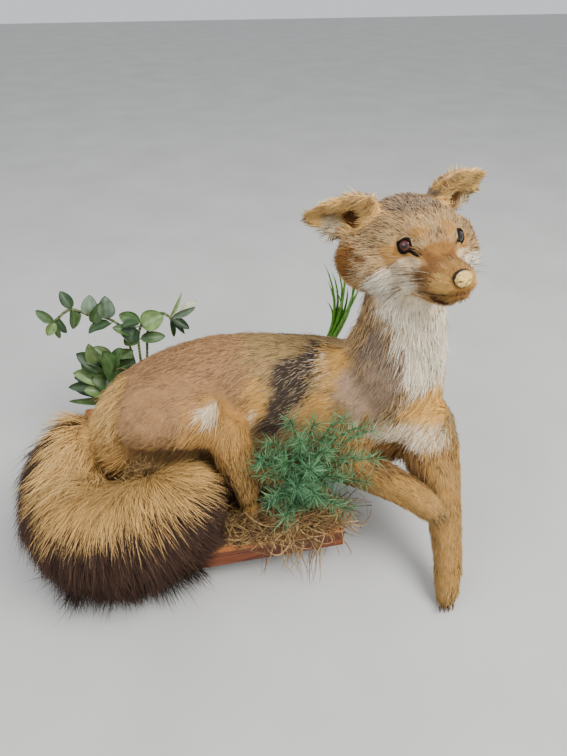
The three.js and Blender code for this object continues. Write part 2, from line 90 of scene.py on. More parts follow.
def light(name, place, aim, size, power, colour):
    """Square area light at a place, turned to its aim."""
    data = bpy.data.lights.new(name, "AREA")
    data.size, data.energy, data.color = size, power, colour
    back = unit(np.subtract(place, aim))
    side = unit(np.cross((0, 0.1, 1), back))
    stood(added(name, data), place, side, np.cross(back, side), back)


def studio():
    """Pale floor, an even sky and two soft lamps."""
    world = bpy.data.worlds.new("studio")
    world.use_nodes = True
    sky = world.node_tree.nodes["Background"]
    sky.inputs["Color"].default_value = (0.93, 0.96, 1, 1)
    sky.inputs["Strength"].default_value = 0.85
    bpy.context.scene.world = world
    light("key", (0.75, -0.75, 1.5), (0.05, -0.05, 0.1), 0.9, 42, (1, 0.98, 0.94))
    light("fill", (-1.1, -0.5, 1.2), (0, 0, 0.1), 1.2, 13, (0.97, 0.99, 1))
    corners = [(x * FLOOR_REACH, y * FLOOR_REACH, 0) for x, y in ((-1, -1), (1, -1), (1, 1), (-1, 1))]
    mesh = bpy.data.meshes.new("floor")
    mesh.from_pydata(corners, [], [(0, 1, 2, 3)])
    paper = grained("floor_paper", (0.70, 0.70, 0.69), (0.74, 0.74, 0.73), 6.0, 4.0, Roughness=0.9)
    mesh.materials.append(paper.material)
    added("floor", mesh)


# ---- Finishes --------------------------------------------------------------------------------

def linear(colour):
    """Linear light values of a display colour, over any array of colours."""
    colour = np.clip(np.asarray(colour, float), 0, 1)
    return np.where(colour < 0.04045, colour / 12.92, ((colour + 0.055) / 1.055) ** 2.4)


class Wire:
    """Output of a shader node. Arithmetic on it adds Math nodes."""

    def __init__(self, finish, socket):
        self.finish, self.socket = finish, socket

    def maths(self, operation, first, second):
        return self.finish.node("Math", {"operation": operation}, {0: first, 1: second})

    def __add__(self, other):
        return self.maths("ADD", self, other)

    def __sub__(self, other):
        return self.maths("SUBTRACT", self, other)

    def __rsub__(self, other):
        return self.maths("SUBTRACT", other, self)

    def __mul__(self, other):
        return self.maths("MULTIPLY", self, other)

    __radd__, __rmul__ = __add__, __mul__


class Finish:
    """A material in the making: its Principled shader and one method that adds any other node."""

    def __init__(self, name, **constants):
        self.material = bpy.data.materials.new(name)
        self.material.use_nodes = True
        self.tree = self.material.node_tree
        self.shader = self.tree.nodes["Principled BSDF"]
        for socket, value in constants.items():
            self.shader.inputs[socket.replace("_", " ")].default_value = value

    def node(self, kind, settings=None, values=None, output=0):
        """Adds a node, sets it up, feeds its sockets and returns one of its outputs."""
        node = self.tree.nodes.new("ShaderNode" + kind)
        for name, value in (settings or {}).items():
            if name == "stops":
                for stop in range(len(value) - 2):
                    node.color_ramp.elements.new(0.5)
                for element, (position, colour) in zip(node.color_ramp.elements, value):
                    element.position = position
                    element.color = (*colour, 1)
            else:
                setattr(node, name, value)
        for socket, value in (values or {}).items():
            self.feed(node.inputs[socket], value)
        return Wire(self, node.outputs[output])

    def feed(self, socket, value):
        """Links a wire to a socket, or sets the socket to a value."""
        if isinstance(value, Wire):
            self.tree.links.new(value.socket, socket)
        else:
            socket.default_value = value

    def place(self, scale=(1, 1, 1)):
        """Object coordinates, stretched along the axes."""
        spot = self.node("TexCoord", output="Object")
        return self.node("Mapping", {}, {"Vector": spot, "Scale": scale})

    def cloud(self, scale, detail=2.0, stretch=(1, 1, 1), **more):
        """Noise from 0 to 1 over the Object coordinates."""
        values = {"Vector": self.place(stretch), "Scale": scale, "Detail": detail, **more}
        return self.node("TexNoise", {}, values)

    def ramp(self, share, stops):
        """Colour from display colours at positions of a share from 0 to 1."""
        stops = [(position, tuple(linear(colour))) for position, colour in stops]
        return self.node("ValToRGB", {"stops": stops}, {"Fac": share})

    def mix(self, share, first, second, blend="MIX"):
        """Colour between two others."""
        settings = {"data_type": "RGBA", "blend_type": blend}
        return self.node("Mix", settings, {"Factor": share, "A": first, "B": second}, "Result")

    def colour(self, wire):
        self.feed(self.shader.inputs["Base Color"], wire)

    def rough(self, wire):
        self.feed(self.shader.inputs["Roughness"], wire)

    def bump(self, height, depth, strength=1.0):
        """Relief of a height from 0 to 1, so many metres deep."""
        values = {"Height": height, "Distance": depth, "Strength": strength}
        self.feed(self.shader.inputs["Normal"], self.node("Bump", {}, values))


def grained(name, deep, light, scale, detail=2.0, stretch=(1, 1, 1), **constants):
    """Finish whose colour goes from one to another with a noise."""
    finish = Finish(name, **constants)
    finish.colour(finish.ramp(finish.cloud(scale, detail, stretch), [(0.3, deep), (0.7, light)]))
    return finish


def tinted(name, scale, detail, dark, stops=(0.3, 0.7), rough=None, relief=None, **constants):
    """Finish in the colours painted on a piece, times a noise from a dark tint to white.

    Its roughness is slope x noise + base, and its relief so deep and so strong, where they are given.
    """
    finish = Finish(name, **constants)
    cloud = finish.cloud(scale, detail)
    shade = finish.ramp(cloud, [(stops[0], dark), (stops[1], (1, 1, 1))])
    tone = finish.node("Attribute", {"attribute_name": "tone"}, output="Color")
    finish.colour(finish.mix(1.0, tone, shade, "MULTIPLY"))
    if rough:
        finish.rough(cloud * rough[0] + rough[1])
    if relief:
        finish.bump(cloud, *relief)
    return finish


# ---- Meshes ----------------------------------------------------------------------------------

def mesh_of(name, points, faces, colours=None, spots=None):
    """Mesh in metres from points in millimetres and arrays of faces with three or four corners.

    `colours` are linear colours at the points, and `spots` are places on the map named OFBake at the
    points.
    """
    faces = [np.asarray(part, np.int32) for part in faces]
    corners = np.concatenate([part.ravel() for part in faces])
    sizes = np.concatenate([np.full(len(part), part.shape[1], np.int32) for part in faces])
    mesh = bpy.data.meshes.new(name)
    mesh.vertices.add(len(points))
    mesh.vertices.foreach_set("co", (np.asarray(points) * MM).astype(np.float32).ravel())
    mesh.loops.add(len(corners))
    mesh.loops.foreach_set("vertex_index", corners)
    mesh.polygons.add(len(sizes))
    mesh.polygons.foreach_set("loop_start", (np.cumsum(sizes) - sizes).astype(np.int32))
    mesh.update(calc_edges=True)
    mesh.polygons.foreach_set("use_smooth", np.ones(len(sizes), bool))
    if colours is not None:
        layer = mesh.color_attributes.new("tone", "FLOAT_COLOR", "POINT")
        opaque = np.column_stack([colours, np.ones(len(colours))]).astype(np.float32)
        layer.data.foreach_set("color", opaque.ravel())
    if spots is not None:
        layer = mesh.uv_layers.new(name="OFBake")
        layer.uv.foreach_set("vector", np.asarray(spots, np.float32)[corners].ravel())
    mesh.update()
    return mesh


def piece(name, mesh, finish, slot, *nodes):
    """Object of a mesh that rides on the one body and stands for the named nodes."""
    thing = added(name, mesh)
    mesh.materials.append(finish.material)
    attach(thing, "root")
    if nodes:
        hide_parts(*nodes)


def unit(vectors):
    """Vectors of length one."""
    return vectors / np.maximum(np.linalg.norm(vectors, axis=-1, keepdims=True), 1e-9)


def blend(first, second, share):
    """Rows between those of two others, by a share for each."""
    first, second = np.asarray(first), np.asarray(second)
    return first + (second - first) * share[:, None]


def bell(*parts):
    """exp(-distance^2), where the parts are the distance along each axis."""
    return np.exp(-sum(np.square(part) for part in parts))


def gathered(values, index, count):
    """Sums of the rows that share an index."""
    return np.stack([np.bincount(index, weights=column, minlength=count) for column in values.T], axis=1)


def spokes(turn, lateral, raised):
    """cos a lateral + sin a raised at each angle a, for each row of directions."""
    return np.cos(turn)[:, None] * lateral[:, None] + np.sin(turn)[:, None] * raised[:, None]


def copies(faces, count, step):
    """Faces of many like shapes, each with so many points, that follow one another."""
    return (faces + (np.arange(count) * step)[:, None, None]).reshape(-1, faces.shape[1])


def ease(low, high, value):
    """Smooth step from 0 at `low` to 1 at `high`."""
    share = np.clip((value - low) / (high - low), 0, 1)
    return share * share * (3 - 2 * share)


def noise(points, size, seed):
    """Smooth random field from -1 to 1: random values on a lattice of the given size, blended."""
    spot = np.asarray(points, float) / size + 1000
    cell = np.floor(spot).astype(np.int64)
    part = spot - cell
    part = part * part * (3 - 2 * part)
    total = np.zeros(len(spot))
    for corner in np.ndindex(2, 2, 2):
        keyed = (cell + corner) @ np.array([73856093, 19349663, 83492791]) + seed * 2654435761
        keyed = (keyed ^ (keyed >> 13)) * 1274126177 & 0x7FFFFFFF
        share = np.prod(np.where(corner, part, 1 - part), axis=1)
        total += share * ((keyed >> 8) % 10007) / 10007
    return 2 * total - 1


def through(rows, shares):
    """Rows at shares of the length: a cubic whose slope at a row is the mean of its neighbours'."""
    rows = np.asarray(rows, float)
    along = np.r_[0, np.cumsum(np.linalg.norm(np.diff(rows[:, :3], axis=0), axis=1))]
    step = np.diff(along)
    slope = np.diff(rows, axis=0) / step[:, None]
    bent = np.vstack([slope[:1], (slope[1:] + slope[:-1]) / 2, slope[-1:]])
    distance = np.asarray(shares) * along[-1]
    index = np.clip(np.searchsorted(along, distance, "right") - 1, 0, len(rows) - 2)
    t, width = ((distance - along[index]) / step[index])[:, None], step[index][:, None]
    return ((2 * t**3 - 3 * t**2 + 1) * rows[index] + (t**3 - 2 * t**2 + t) * width * bent[index]
            + (3 * t**2 - 2 * t**3) * rows[index + 1] + (t**3 - t**2) * width * bent[index + 1])


def tube_faces(rings, sides):
    """Faces of a grid of rings whose first and last ring are each one pole point."""
    ring = np.arange(rings - 2)[:, None] * sides
    side = np.arange(sides)
    after = (side + 1) % sides
    first = 1 + ring + side
    second = 1 + ring + after
    quads = np.stack([first[:-1], second[:-1], second[1:], first[1:]], -1).reshape(-1, 4)
    last = 1 + (rings - 2) * sides
    start = np.stack([np.zeros(sides, int), second[0], first[0]], -1)
    end = np.stack([np.full(sides, last), first[-1], second[-1]], -1)
    return [quads, np.vstack([start, end])]


def loft(rows, caps, up=(0, 0, 1), wide=None, cup=0, inset=0, rings=40, sides=32):
    """Oval section carried along stations of centre, half width and half height.

    Each end is drawn in along a quarter ellipse over its cap length; `wide` is the direction of the
    half width, `cup` bends the section's middle along its height and `inset` brings the wall and the
    ends inwards. Returns the points, with one pole at each end.
    """
    rows = np.asarray(rows, float)
    length = np.linalg.norm(np.diff(rows[:, :3], axis=0), axis=1).sum()
    shares = np.linspace(0, 1, rings)
    shares = 0.6 * shares + 0.4 * (0.5 - 0.5 * np.cos(np.pi * shares))
    draw = np.ones(rings)
    for distance, cap in ((shares * length, caps[0]), ((1 - shares) * length, caps[1])):
        draw *= np.sqrt(1 - np.clip(1 - distance / cap, 0, 1) ** 2)
    trim = min(inset / length, 0.2)
    shares = trim + (1 - 2 * trim) * shares
    here = through(rows, shares)
    near, far = (through(rows, np.clip(shares + step / length, 0, 1)) for step in (-1, 1))
    along = unit(far[:, :3] - near[:, :3])
    if wide is None:
        across = np.cross(along, up)
    else:
        across = np.asarray(wide) - along * (along @ np.asarray(wide))[:, None]
    across = unit(across)
    normal = np.cross(across, along)
    turn = np.linspace(0, 2 * np.pi, sides, endpoint=False)
    out = (np.maximum(here[:, 3] - inset, 1) * draw)[:, None] * np.cos(turn)
    rise = (np.maximum(here[:, 4] - inset, 1) * draw)[:, None] * np.sin(turn)
    rise = rise + cup * draw[:, None] * np.cos(turn) ** 2
    points = here[:, None, :3] + across[:, None] * out[..., None] + normal[:, None] * rise[..., None]
    return np.vstack([here[:1, :3], points[1:-1].reshape(-1, 3), here[-1:, :3]])


# ---- Forms of the fox ------------------------------------------------------------------------

HEAD = {"centre": (211.5, -1, 301), "yaw": 2, "pitch": 10, "roll": 4}
EYE = {"forward": 38.5, "aside": 21, "up": 9, "radius": 7.2}
NOSE = {"forward": 92, "up": -6}

# Stations: centre x, y, z, then half width and half height of the section out to the coat's tips.
TRUNK = [
    (-104, 22, 98, 42, 40), (-66, 15, 107, 57, 52), (-22, 13, 121, 62, 70), (24, 12, 127, 62, 80),
    (66, 11, 129, 61, 78), (125, 4, 130, 60, 71), (186, -20, 136, 60, 64), (244, -48, 158, 50, 60),
]
NECK = [
    (196, -18, 112, 60, 58), (202, -22, 172, 56, 62), (208, -17, 222, 43, 52),
    (210, -6, 264, 37, 46), (207, 4, 298, 38, 38),
]
TAIL = [
    (-82, 24, 106, 32, 30), (-114, 10, 99, 42, 39), (-132, -34, 90, 45, 45), (-116, -80, 80, 51, 55),
    (-74, -102, 78, 55, 60), (-28, -94, 88, 54, 59), (6, -88, 92, 44, 48), (28, -84, 88, 26, 32),
]
THIGH_RIGHT = [(-64, -8, 152, 42, 30), (-26, -30, 163, 42, 29), (34, -44, 162, 28, 26)]
SHANK_RIGHT = [
    (26, -42, 160, 24, 24), (34, -58, 134, 22, 21), (40, -71, 108, 19, 17), (45, -82, 76, 12, 12),
]
FOOT_RIGHT = [(45, -78, 74, 11, 11), (47, -88, 67, 11, 9), (49, -98, 63, 9, 6)]
THIGH_LEFT = [(-66, 36, 104, 40, 38), (-26, 50, 118, 40, 40), (30, 62, 130, 25, 25)]
SHANK_LEFT = [(28, 62, 130, 22, 22), (40, 74, 106, 19, 18), (44, 84, 80, 14, 13), (48, 90, 66, 10, 10)]
FOOT_LEFT = [(46, 88, 66, 11, 9), (64, 96, 64, 12, 8), (78, 100, 63, 9, 6)]
FORELEG_LEFT = [
    (222, -44, 150, 34, 36), (226, -86, 126, 26, 27), (229, -132, 78, 18, 17),
    (227, -166, 32, 14, 14), (222, -182, 12, 13.5, 11), (219, -192, 10, 12, 8),
]
UPPER_FORELEG_RIGHT = [(170, -46, 140, 38, 34), (150, -48, 102, 29, 27), (136, -40, 80, 22, 20)]
FORELEG_RIGHT = [
    (130, -38, 82, 22, 21), (162, -84, 96, 18, 18), (190, -126, 108, 15, 15),
    (203, -147, 109, 15, 12), (209, -158, 105, 11, 8),
]
# In the head's own frame.
CRANIUM = [
    (-48, 0, 4, 34, 31), (-30, 0, 2, 44, 37), (-8, 0, 0, 50, 38), (14, 0, -1, 48, 36),
    (32, 0, -2, 37, 30), (48, 0, -6, 26, 23), (62, 0, -9, 21, 17),
]
MUZZLE = [
    (34, 0, -12, 29, 22), (54, 0, -13, 24, 19), (72, 0, -13, 20, 16.5), (86, 0, -13, 16.5, 14.5),
    (94, 0, -12, 13, 12),
]
JAW = [(18, 0, -26, 24, 15), (46, 0, -29, 18, 11.5), (66, 0, -29, 14, 9.5), (82, 0, -27, 10, 7.5)]
CHEEK = [(36, 25, -12, 15, 18), (15, 39, -14, 20, 25), (-10, 46, -11, 23, 29), (-31, 45, -4, 25, 28)]
EARS = {-1: ((-8, 32, 29), (-30, 86, 30)), 1: ((-10, 25, 34), (-26, 79, 40))}  # root and tip by side
EAR = {"half_width": 25, "thickness": 4, "cup": -10, "wide": (0.4, 0, 0.9)}

# `hair` is the length, width and lift in degrees of a tuft, and `dense` its number for each mm2;
# `lie` turns the hair along the stations (1) or against them (-1), with `drift` added to it.
Form = namedtuple("Form", "coat rows caps inset hair dense lie drift options",
                  defaults=(1, (0, 0, 0), {}))
SIDEWAYS, FORWARD = {"up": (1, 0, 0)}, {"up": (0, -1, 0.2)}


def head_turn():
    """Axes of the head's frame, as columns: to the nose, to the fox's left and to the crown."""
    yaw, pitch, roll = np.radians([HEAD["yaw"], HEAD["pitch"], HEAD["roll"]])
    nose = np.array([np.sin(yaw) * np.cos(pitch), -np.cos(yaw) * np.cos(pitch), np.sin(pitch)])
    level = unit(np.cross((0, 0, 1), nose))
    left = np.cos(roll) * level + np.sin(roll) * np.cross(nose, level)
    return np.column_stack([nose, left, np.cross(nose, left)])


HEAD_TURN = head_turn()


def from_head(points):
    """Points of the head's frame in the frame of the model."""
    return np.asarray(points, float) @ HEAD_TURN.T + HEAD["centre"]


def to_head(points):
    """Points of the model in the head's frame."""
    return (np.asarray(points, float) - HEAD["centre"]) @ HEAD_TURN


def ear_rows(side):
    """Stations of an ear from inside the head to its tip."""
    root, tip = (np.array(spot, float) * (1, side, 1) for spot in EARS[side])
    width, thick = EAR["half_width"], EAR["thickness"]
    sizes = ((-0.1, 0.9, 1), (0.3, 1, 1), (0.65, 0.72, 0.8), (1, 0.22, 0.5))
    return [(*(root + share * (tip - root)), width * wide, thick * deep) for share, wide, deep in sizes]


def forms():
    """Every form of flesh by name, with its coat. Head forms are in the head's frame."""
    found = {
        "trunk": Form("olive", TRUNK, (42, 36), 3.5, (17, 0.68, 16), 0.31, -1, (-0.2, -0.1, -0.4)),
        "neck": Form("grizzled", NECK, (36, 30), 4.5, (18, 0.75, 17), 0.39, -1, options=FORWARD),
        "tail": Form("tail", TAIL, (20, 30), 13, (32, 0.6, 24), 0.66, 0, (0, 0, -0.3)),
        "thigh_right": Form(
            "bare", THIGH_RIGHT, (32, 22), 1.5, (13, 0.6, 13), 0.58, 0, (-0.85, -0.2, -0.45)),
        "shank_right": Form("leg", SHANK_RIGHT, (16, 8), 1.8, (11, 0.65, 15), 0.75, options=SIDEWAYS),
        "foot_right": Form("leg", FOOT_RIGHT, (8, 9), 0.8, (6, 0.6, 16), 1.2),
        "thigh_left": Form(
            "tan", THIGH_LEFT, (32, 22), 4, (14, 0.8, 14), 0.4, 0, (-0.85, 0.2, -0.45)),
        "shank_left": Form("leg", SHANK_LEFT, (16, 8), 1.8, (11, 0.7, 15), 0.6, options=SIDEWAYS),
        "foot_left": Form("leg", FOOT_LEFT, (8, 9), 0.8, (6, 0.6, 16), 1.0),
        "foreleg_left": Form("leg", FORELEG_LEFT, (26, 9), 1, (7.4, 0.6, 15), 1.0, options=SIDEWAYS),
        "upper_foreleg_right": Form(
            "leg", UPPER_FORELEG_RIGHT, (26, 14), 2, (12, 0.7, 15), 0.5, 1, (0, 0, -0.3), SIDEWAYS),
        "foreleg_right": Form("leg", FORELEG_RIGHT, (14, 9), 1, (7.4, 0.6, 15), 1.0),
        "cranium": Form("grizzled", CRANIUM, (28, 16), 2.2, (8, 0.5, 20), 1.15, -1),
        "muzzle": Form("muzzle", MUZZLE, (12, 8), 1.8, (5.8, 0.5, 19), 3.0, -1),
        "jaw": Form("tan", JAW, (16, 8), 2.2, (5, 0.45, 17), 1.9, -1, (0, 0, -0.1)),
    }
    for side, name in ((-1, "right"), (1, "left")):
        cheek = [(x, side * y, *rest) for x, y, *rest in CHEEK]
        found["cheek_" + name] = Form(
            "grizzled", cheek, (16, 22), 4.5, (12, 0.62, 19), 0.9, 1, (0, 0, -0.25))
        options = {"wide": EAR["wide"] * np.array([1, side, 1]), "cup": side * EAR["cup"]}
        # The ear coat is golden fur made brighter with painted light, for the light that falls on the ears
        # from above.
        ear = Form("ear", ear_rows(side), (8, 7), -0.4, (6.5, 0.5, 15), 1.3, options=options)
        found["ear_" + name] = ear
    return found


FORMS = forms()
NAMES = list(FORMS)
HEAD_FORMS = ("cranium", "muzzle", "jaw", "cheek_right", "cheek_left", "ear_right", "ear_left")
SECTIONS = 25  # sections of a form that a point's distance is taken to
TAIL_CURL = np.array([-46.0, -36.0, 90.0])  # middle of the ring that the tail lies in
FLESH = (
    "trunk", "neck", "head", "lower_jaw", "ear_right", "ear_left", "tail_base", "tail_middle", "tail_tip",
    "thigh_right", "hind_foot_right", "thigh_left", "hind_foot_left", "foreleg_left", "foreleg_right",
    "upper_foreleg_right",
)


def share_of(weights, *names):
    """How much each point belongs to some of the forms."""
    return weights[:, [NAMES.index(name) for name in names]].sum(axis=1)


def nearness(points):
    """How much each point belongs to each form, and the way the hair lies there before it is flat.

    A point's distance to a form is counted in half widths of the section nearest to it, and the forms
    share the point by exp(-7 x distance).
    """
    weights = np.zeros((len(points), len(FORMS)))
    ways = np.zeros((len(points), len(FORMS), 3))
    for index, (name, form) in enumerate(FORMS.items()):
        rows = through(form.rows, np.linspace(0, 1, SECTIONS))
        centres, size = rows[:, :3], rows[:, 3:].mean(axis=1)
        if name in HEAD_FORMS:
            centres = from_head(centres)
        ahead = unit(np.gradient(centres, axis=0))
        far = np.linalg.norm(points[:, None] - centres, axis=2) / size
        nearest = far.argmin(axis=1)
        weights[:, index] = np.exp(-7 * far[np.arange(len(points)), nearest])
        if name == "tail":
            weights[:, index] *= 1 - 0.999 * ease(24, 34, points[:, 0])
        drift = HEAD_TURN @ form.drift if name in HEAD_FORMS else np.array(form.drift)
        ways[:, index] = form.lie * ahead[nearest] + drift
        if name == "tail":
            share = (nearest / (SECTIONS - 1))[:, None]
            centre = TAIL_CURL - np.outer(50 * ease(-60, 10, points[:, 0]), (0, 1, 0))
            fan = unit((points - centre) * (1, 1, 0)) * ease(0.1, 0.4, share)
            ways[:, index] += fan + (1.3 - 1.0 * ease(0.15, 0.5, share)) * ahead[nearest]
    weights /= weights.sum(axis=1, keepdims=True)
    return weights, (weights[..., None] * ways).sum(axis=1)


# ---- Markings --------------------------------------------------------------------------------

def table(text):
    """Rows of a table written as text: a name, then its numbers."""
    rows = [line.split() for line in text.strip().splitlines()]
    return [(name, np.array(numbers, float)) for name, *numbers in rows]


# Coats in percent: colours of a hair at its root, middle and tip and of its flecks, the share of
# flecks, then length, closeness and lift of the coat as shares of the form's own.
Coat = namedtuple("Coat", "root middle tip fleck flecks long dense rise", defaults=(1, 1, 1))
# The brightest white, used on the cheeks, is white fur brightened with painted light, as the cheeks face
# down into shade.
COATS = {name: Coat(*row[:12].reshape(4, 3) / 100, *row[12:] / 100) for name, row in table("""
    tan        67 50 26  77 59 33  85 69 42  58 42 22  8
    rump       70 53 30  86 68 41  94 80 54  58 42 24  15 160 90 150
    tail       71 53 29  83 65 38  91 75 48  60 44 24  10
    gold       62 45 23  75 56 31  83 66 42  55 38 20  12
    leg        55 39 19  75 57 31  88 73 48  35 23 12  38 100 100 160
    belly      50 36 20  64 48 29  74 59 40  42 29 17  20 190 100 240
    rufous     42 25 11  57 37 17  70 50 27  30 19 10  30
    orange     80 57 27  93 70 36  96 80 52  74 53 28  10
    white      83 75 62  95 89 78  98 95 88  78 68 55  6
    clean      92 85 73  100 95 85  100 98 92  86 77 63  5
    streaky    78 68 53  93 86 74  97 93 85  73 57 36  42
    cream      64 56 42  84 77 62  93 88 76  46 36 22  30 110 100 120
    pale       78 66 51  92 81 65  96 88 75  66 52 39  20 80
    grizzled   57 45 31  76 62 43  88 77 59  31 22 15  30 110
    crown      46 37 29  62 52 42  79 70 58  24 18 15  34 120 100 170
    agouti     20 16 13  23 19 16  38 33 28  66 58 47  24 62 140 120
    grey_brown 48 40 33  60 51 43  72 64 55  43 35 29  20
    olive      48 39 25  63 52 34  73 63 46  35 28 19  20 85
    bare       57 42 28  66 50 34.5  78 64 47  45 32 22  36 60 190 150
    shoulder   56 46 37  65 54 44  75 65 54  46 37 30  30 50 200 120
    ear        90 68 36  99 79 47  100 88 62  58 38 19  28 130 100 160
    fringe     30 21 16  19 13 11  29 21 17  40 29 21  16 100 85
    brush      26 18 14  17 12 10  25 18 15  38 27 20  14 140 110 170
    muzzle     50 34 16  64 46 24  74 57 34  36 23 11  42
    brown      42 27 14  55 38 22  66 49 31  28 17 10  20
    lips       16 10  7  27 16 10  38 24 14  14  9  6  20 70 60
    hollow     26 16  8  38 24 12  52 36 20  22 13  7  20 40 50
""")}
COAT_NAMES = list(COATS)

# Patches painted one over the other: coat, centre and half axes, on the model and on the head, where
# both sides are alike.
# The rufous patches low on the forelegs are their rufous fur and, under the right forearm, painted shade as
# well.
BODY_MARKS = table("""
    tan  0 30 62  150 90 34
    grey_brown  90 66 150  110 30 50
    bare  -4 4 170  84 84 66
    agouti  100 -26 176  24 36 26
    agouti  80 -46 150  22 26 24
    agouti  124 -10 193  20 26 14
    tan  124 -50 154  17 24 22
    agouti  112 44 160  34 30 46
    olive  98 14 206  36 34 15
    agouti  76 -38 192  9 15 9
    tan  66 -34 168  9 24 26
    streaky  134 -24 194  5 16 15
    tan  148 -34 188  13 30 34
    white  216 -52 236  30 40 74
    white  190 -50 270  34 36 24
    grey_brown  172 -52 240  12 24 40
    grey_brown  184 -64 210  11 18 26
    shoulder  164 -62 184  36 34 34
    orange  226 -80 174  26 28 22
    belly  196 -72 112  32 44 19
    streaky  198 -84 148  42 32 13
    white  172 -90 136  16 14 12
    belly  206 -84 122  22 26 12
    belly  214 -88 106  15 22 20
    gold  26 -58 164  38 24 26
    streaky  23 -59 179  17 13 9
    streaky  58 -48 156  5 9 12
    rump  -94 -6 150  36 70 70
    brush  -142 4 114  18 26 22
    fringe  24 -92 96  34 46 46
    orange  188 -128 100  26 30 8
    rufous  150 -44 70  26 26 14
    rufous  152 -90 81  24 24 10
    rufous  180 -130 94  20 22 10
    rufous  222 -118 92  14 14 20
""")
# On the head, the ear's hole is painted dark brown and the inner side of the ear olive: painted shade in
# these recesses.
HEAD_MARKS = table("""
    clean  40 34 -22  25 20 15
    clean  21 34 -45  21 19 17
    tan  50 26 2  12 12 9
    gold  35 30 3  10 9 7
    pale  50 24 -5  11 11 7
    gold  47 12 20  9 9 6
    muzzle  60 4 5  16 14 9
    brown  62 9 2  10 6 6
    grizzled  50 0 18  9 4 8
    brown  25 51 -2  12 9 3.5
    gold  6 52 -34  15 15 15
    rufous  3 60 -9  14 16 18
    crown  4 6 36  24 24 10
    ear  -12 34 32  15 13 13
    olive  -19 64 28  9 17 6
    cream  -20 67 19  9 13 7
    hollow  -14 50 25  10 9.5 9.5
    brown  70 17 -8  15 11 10
    tan  84 11 -12  9 9 7
    white  58 0 -40  30 18 9
    lips  80 8 -28  16 12 5
""")


def paint(points, weights):
    """Share of each coat at each point: the forms' own coats, then each patch over the last.

    A patch covers a point by a smooth step of its distance from the centre, counted in half axes, with
    a random field added so that the edges break up.
    """
    shares = np.zeros((len(points), len(COATS)))
    for index, form in enumerate(FORMS.values()):
        shares[:, COAT_NAMES.index(form.coat)] += weights[:, index]
    ragged = 0.20 * noise(points, 11, 1) + 0.13 * noise(points, 4, 2)
    head = to_head(points)
    head[:, 1] = np.abs(head[:, 1])
    on_head = share_of(weights, *HEAD_FORMS)
    for spots, marks, where in ((points, BODY_MARKS, 1 - on_head), (head, HEAD_MARKS, on_head)):
        for coat, numbers in marks:
            far = np.linalg.norm((spots - numbers[:3]) / numbers[3:], axis=1) + ragged
            part = share_of(weights, "tail") if coat in ("fringe", "brush") else where
            cover(shares, coat, (1 - ease(0.74, 1.2, far)) * part)
    # The tail gets dark hair on its outer side and painted shade on its lower side.
    cover(shares, "fringe", tail_dark_hair_and_shade(points, weights, ragged))
    line = np.interp(head[:, 0], *np.transpose(MOUTH))
    lip = bell((head[:, 2] - line) / 1.7) * ease(42, 52, head[:, 0]) * (head[:, 0] < 98)
    cover(shares, "lips", np.clip(1.2 * lip, 0, 1) * on_head)
    return shares


def weather(points):
    """Uneven fading, as a factor of the colours: two random fields, and a fine one on head and legs."""
    head_or_leg = ease(240, 270, points[:, 2]) + ease(150, 120, points[:, 2])
    fine = 0.13 * noise(points, 3.5, 53) * (ease(150, 190, points[:, 0]) * head_or_leg)
    return (1 + 0.10 * noise(points, 26, 51) + 0.08 * noise(points, 8, 52) + fine)[:, None]


def cover(shares, coat, amount):
    """Lays one coat over the others by an amount from 0 to 1 at each point."""
    shares *= (1 - amount)[:, None]
    shares[:, COAT_NAMES.index(coat)] += amount


def tail_dark_hair_and_shade(points, weights, ragged):
    """Tail's dark outer hair and painted shade on its lower side: how far a point is out and down from the
    middle line.
    """
    rows = through(TAIL, np.linspace(0, 1, 40))
    nearest = np.linalg.norm(points[:, None] - rows[:, :3], axis=2).argmin(axis=1)
    middle, size = rows[nearest, :3], rows[nearest, 3:].mean(axis=1)
    outward = unit((middle - TAIL_CURL) * (1, 1, 0))
    offset = points - middle
    out = 0.55 * (offset * outward).sum(axis=1) - 0.85 * offset[:, 2]
    return share_of(weights, "tail") * ease(-0.75, -0.28, out / size + 0.6 * ragged)


# ---- Skin ------------------------------------------------------------------------------------

VOXEL = 2.55
FACE = (22, -60, -40), (999, 60, 999)  # corners, in the head's frame, of where the mesh is finer
NEAR_EYES = (15, 13)  # distances from an eye's centre within which it is finer still
SMOOTHING = 14  # rounds
LID = {"reach": 13.5, "hold": 9.0, "thick": 1.3, "half_long": 6.0, "half_high": 5.2, "sink": 1.6}
GAZE = (0.72, 0.66, 0.20)  # of the left eye, in the head's frame
MOUTH = ((42, -30), (52, -27), (66, -23.5), (80, -20), (92, -18.5))
Skin = namedtuple("Skin", "points faces normals weights ways coats map")


def gaze(side):
    """Axes of an eye in the head's frame, as columns: to its inner corner, up and outwards."""
    outward = unit(np.array(GAZE) * (1, side, 1))
    inner = unit(np.cross(np.cross(outward, (1, -0.75 * side, -0.35)), outward))
    up = np.cross(outward, inner)
    return np.column_stack([inner, up if up[2] > 0 else -up, outward])


def eye_centre(side):
    """Centre of an eye in the head's frame."""
    return np.array([EYE["forward"], side * EYE["aside"], EYE["up"]])


def joined_forms():
    """All forms as one mesh of closed, overlapping tubes, remeshed to a single even surface."""
    points, faces, start = [], [[], []], 0
    sides = 32
    for name, form in FORMS.items():
        wall = loft(form.rows, form.caps, inset=form.inset, sides=sides, **form.options)
        if name in HEAD_FORMS:
            wall = from_head(wall)
        for store, part in zip(faces, tube_faces((len(wall) - 2) // sides + 2, sides)):
            store.append(part + start)
        points.append(wall)
        start += len(wall)
    mesh = mesh_of("forms", np.vstack(points), [np.vstack(part) for part in faces])
    work = added("forms", mesh)
    even = work.modifiers.new("even", "REMESH")
    even.mode, even.voxel_size = "VOXEL", VOXEL * MM
    whole = bpy.data.meshes.new_from_object(work.evaluated_get(bpy.context.evaluated_depsgraph_get()))
    bpy.data.objects.remove(work)
    return whole


